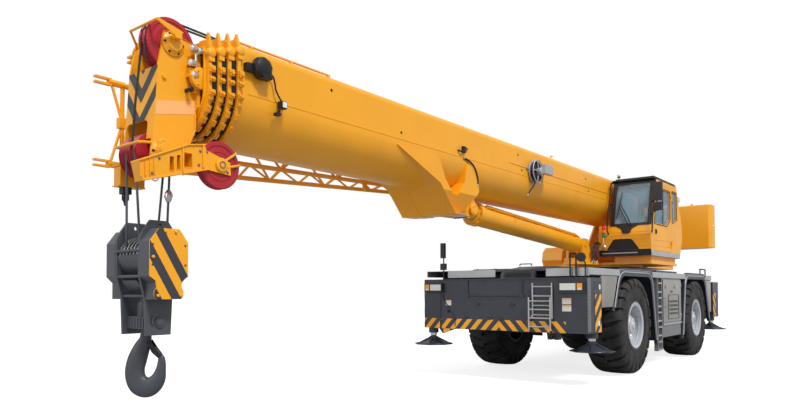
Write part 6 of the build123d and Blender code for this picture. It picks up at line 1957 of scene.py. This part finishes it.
@dataclass
class Underside(Assembly):
    """Bolts, shafts, steering rods, springs and pads under the carrier, on both axles."""

    axle_z: float = 0.91
    axle_x: float = 2.175
    case: Point = (0, 0, 1.0)
    jack_y: float = 1.49
    face_y: float = 1.59
    # x of each outrigger's jack, and the span of its box where a striped cover lies on it
    jacks: tuple[tuple[str, float, Flat], ...] = (
        ("front_left", 4.109, ()), ("front_right", 4.385, (4.267, 4.538)),
        ("rear_left", -3.919, (-4.037, -3.766)), ("rear_right", -4.195, (-4.348, -4.077)))
    body: str = "carrier"

    def axle(self, end: str, way: int) -> None:
        """Bolts, steering rods, springs and the shaft of one axle.

        Args:
            end: "front" or "rear".
            way: 1 for the front axle, -1 for the rear one.
        """
        x, z = way * self.axle_x, self.axle_z
        shape = self.piece(f"{end}_axle_details", Coat.CAST, 0.002)
        shape.bolts((-way, 0, 0), 0.014, 0.016, *circle((x - way * 0.225, 0, z), "x", 0.105, even(12)))
        for side in SIDES:
            shape.tube([(x - way * 0.19, side * y, z + 0.02) for y in (0.24, 0.82)], 0.045, 16)
            shape.tube([(x - way * 0.19, side * 0.8, z + 0.02), (x - way * 0.17, side * 0.93, z + 0.01)],
                       0.022, 10)
            shape.lathe((x, side * 0.62, z + 0.14), "z", [(0.085, 0), (0.085, 0.05), (0.06, 0.05),
                (0.06, 0.3), (0.045, 0.3), (0.045, 0.44)], 20)
            shape.bolts((0, side, 0), 0.012, 0.014, *circle((x, side * 1.045, z), "y", 0.12, even(8)))
        shape.tube([(x - way * 0.23, 0, z), (x - way * 0.34, 0, z)], 0.055, 16)
        shape.tube([(x - way * 0.33, 0, z), (way * 0.42, 0, z + 0.09)], 0.045, 18)

    def transfer_case(self) -> None:
        """The case between the shafts."""
        x, y, z = self.case
        box = self.piece("transfer_case", Coat.CAST, 0.012)
        box.lathe(self.case, "x", [(0.09, -0.44), (0.2, -0.3), (0.24, -0.12), (0.24, 0.12), (0.2, 0.3),
            (0.09, 0.44)], 28)
        box.block((-0.2, 0.2), (-0.3, 0.3), (0.98, 1.22))
        box.bolts("x", 0.014, 0.016, *circle((x + 0.12, y, z), "x", 0.215, even(12)))

    def outrigger(self, corner: str, x: float, box: Flat) -> None:
        """Ribs, rod, bolts and striped cover of one outrigger.

        Args:
            corner: which outrigger it is.
            x: the place of its jack.
            box: the striped cover's span, or nothing.
        """
        side = 1 if "left" in corner else -1
        base = Vector((x, side * self.jack_y, 0))
        low, high = Vector((0, 0, 0.588)), Vector((0, 0, 0.7))
        pad = self.piece(f"float_ribs_{corner}", Coat.SLATE, 0.002, body=f"jack_{corner}")
        for turn in even(6, 0.3):
            out = Vector((cos(turn), sin(turn), 0))
            across = Vector((-out.y, out.x, 0)) * 0.006
            rib = (base + out * 0.3 + low, base + out * 0.075 + high, base + out * 0.075 + low)
            pad.slab([spot - across for spot in rib], across * 2)
        pad.hoop(base + Vector((0, 0, 0.578)), "z", 0.333, 0.007, 44)
        rod = self.piece(f"jack_rod_{corner}", Coat.CHROME, body=f"jack_{corner}")
        rod.lathe(base, "z", [(0.0605, 0.73), (0.0605, 0.79)], 28)
        pin = self.piece(f"beam_fittings_{corner}", Coat.TRIM_BRIGHT, 0.001, body=f"beam_{corner}")
        pin.bolts((0, side, 0), 0.01, 0.006, *[(x + a, side * self.face_y, z) for a in (-0.11, 0.11)
            for z in (1.55, 1.73)])
        if box:
            self.striped_cover((f"box_cover_{corner}", f"box_stripes_{corner}"), box, (0.875, 1.5), side,
                               f"beam_{corner}", -45 if "front" in corner else 45)

    def draw(self) -> None:
        """Draws the underside's pieces."""
        self.axle("front", 1)
        self.axle("rear", -1)
        self.transfer_case()
        for jack in self.jacks:
            self.outrigger(*jack)


@dataclass
class JibDetails(Assembly):
    """Clamps and pins of the jib stowed beside the boom."""

    clamp_x: Flat = (7.3, 9.7)
    pin_y: float = -0.6
    body: str = "boom"

    def draw(self) -> None:
        """Draws the jib's pieces."""
        shape = self.piece("jib_clamps", Coat.ORANGE, 0.002)
        pins = self.piece("jib_pins", Coat.TRIM_BRIGHT)
        for x in self.clamp_x:
            shape.blocks((about(x, 0.05), (-0.52, -0.475), (3.44, 3.6)),
                         (about(x, 0.035), (-0.66, -0.5), (3.545, 3.565)))
            shape.disc((x, self.pin_y, 3.44), "z", 0.024, 0.16, 16)
            pins.lathe((x, self.pin_y, 3.42), "z", [(0.014, 0), (0.014, 0.2), (0.022, 0.2), (0.022, 0.215)],
                       14)
            pins.bolts((0, -1, 0), 0.01, 0.01, *[(x + a, -0.52, z) for z in (3.47, 3.58)
                for a in (-0.03, 0.03)])


# ---------------------------------------------------------------- scene


@dataclass
class Studio:
    """Floor, lamps and camera."""

    eye: Point = (11.123, 5.608, 1.558)
    yaw_deg: float = -141.22
    pitch_deg: float = 1.735
    roll_deg: float = -0.14
    lens_mm: float = 29.33
    shift: Flat = (0.0078, 0.0813)
    sensor_mm: float = 36.0
    floor_half: float = 120.0
    floor_grey: float = 0.34
    floor_glow: float = 0.8
    sky_dim: float = 0.6
    # name, strength, direction of the light and spread in degrees
    suns: tuple[tuple[str, float, Point, float], ...] = (
        ("key", 2.55, (-0.25, -0.75, -0.95), 12.0), ("fill", 0.65, (-0.95, 0.25, -0.35), 40.0))

    def camera(self) -> None:
        """Puts the camera at the eye, looking along the yaw and pitch."""
        data = bpy.data.cameras.new("camera")
        data.lens = self.lens_mm
        data.sensor_width = self.sensor_mm
        data.sensor_fit = "HORIZONTAL"
        data.shift_x, data.shift_y = self.shift
        data.clip_end = 400.0
        camera = bpy.data.objects.new("camera", data)
        bpy.context.collection.objects.link(camera)
        turn = Matrix.Rotation(radians(self.yaw_deg - 90), 4, "Z")
        tilt = Matrix.Rotation(radians(90 + self.pitch_deg), 4, "X")
        roll = Matrix.Rotation(radians(self.roll_deg), 4, "Z")
        camera.matrix_world = Matrix.Translation(self.eye) @ turn @ tilt @ roll
        bpy.context.scene.camera = camera

    def floor(self) -> None:
        """A wide floor that is white to the camera and keeps the crane's shadow."""
        mesh = bpy.data.meshes.new("floor")
        half = self.floor_half
        mesh.from_pydata([(-half, -half, 0), (half, -half, 0), (half, half, 0), (-half, half, 0)], [],
                         [(0, 1, 2, 3)])
        floor = bpy.data.objects.new("floor", mesh)
        bpy.context.collection.objects.link(floor)
        material = bpy.data.materials.new("floor_white")
        material.use_nodes = True
        nodes = Nodes(material.node_tree)
        seen = nodes.add("LightPath", {}, "Is Camera Ray")
        lift = nodes.add("Math", {0: seen, 1: self.floor_glow}, "Value", operation="MULTIPLY")
        nodes.feed(nodes.tree.nodes["Principled BSDF"],
                   {"Base Color": (*(self.floor_grey,) * 3, 1), "Roughness": 0.9,
                    "Emission Color": (1, 1, 1, 1), "Emission Strength": lift})
        mesh.materials.append(material)

    def lamps(self) -> None:
        """Soft daylight from high on the crane's left, and a pale sky."""
        world = bpy.data.worlds.new("sky")
        world.use_nodes = True
        bpy.context.scene.world = world
        nodes = Nodes(world.node_tree)
        rays = [nodes.add("LightPath", {}, f"Is {kind} Ray") for kind in ("Camera", "Transmission")]
        seen = nodes.add("Math", dict(enumerate(rays)), "Value", operation="MAXIMUM")
        strength = nodes.add("MapRange", {"To Min": self.sky_dim, "To Max": 1.0, "Value": seen}, "Result")
        nodes.feed(nodes.tree.nodes["Background"], {"Strength": strength, "Color": (1, 1, 1, 1)})
        for name, energy, aim, spread_deg in self.suns:
            data = bpy.data.lights.new(name, "SUN")
            data.energy = energy
            data.angle = radians(spread_deg)
            lamp = bpy.data.objects.new(name, data)
            lamp.rotation_euler = Vector(aim).to_track_quat("-Z", "Y").to_euler()
            bpy.context.collection.objects.link(lamp)

    def build(self) -> None:
        """Makes the camera, floor and lamps."""
        bpy.context.scene.view_settings.view_transform = "Standard"
        self.camera()
        self.floor()
        self.lamps()


def dress_frame(frame: dict) -> None:
    """Gives every node of the fixed frame its finish.
    """
    for name, node in frame["nodes"].items():
        coat = next((finish for finish, starts in NODE_COATS if name.startswith(starts)), Coat.ORANGE)
        node.data.materials.clear()
        node.data.materials.append(coat.make())
    LOG.info("dressed %d nodes", len(frame["nodes"]))


def main() -> None:
    """Builds the looks piece by piece."""
    logging.basicConfig(level=logging.INFO, format="%(message)s")
    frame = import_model()
    Studio().build()
    dress_frame(frame)
    for piece in (BoomHead(), AuxiliaryBracket(), Collars(), BoomFittings(), LuffCylinder(), HookBlock(),
                  ForgedHook(), CarrierFront(), Fenders(-1), Fenders(1), Cab(), Deck(), UpperWorks(),
                  Underside(), JibDetails()):
        piece.build()
    for corner in CORNERS:
        Wheel(corner, 2.175 if "front" in corner else -2.175, 1 if "left" in corner else -1).build()


if __name__ == "__main__":
    main()
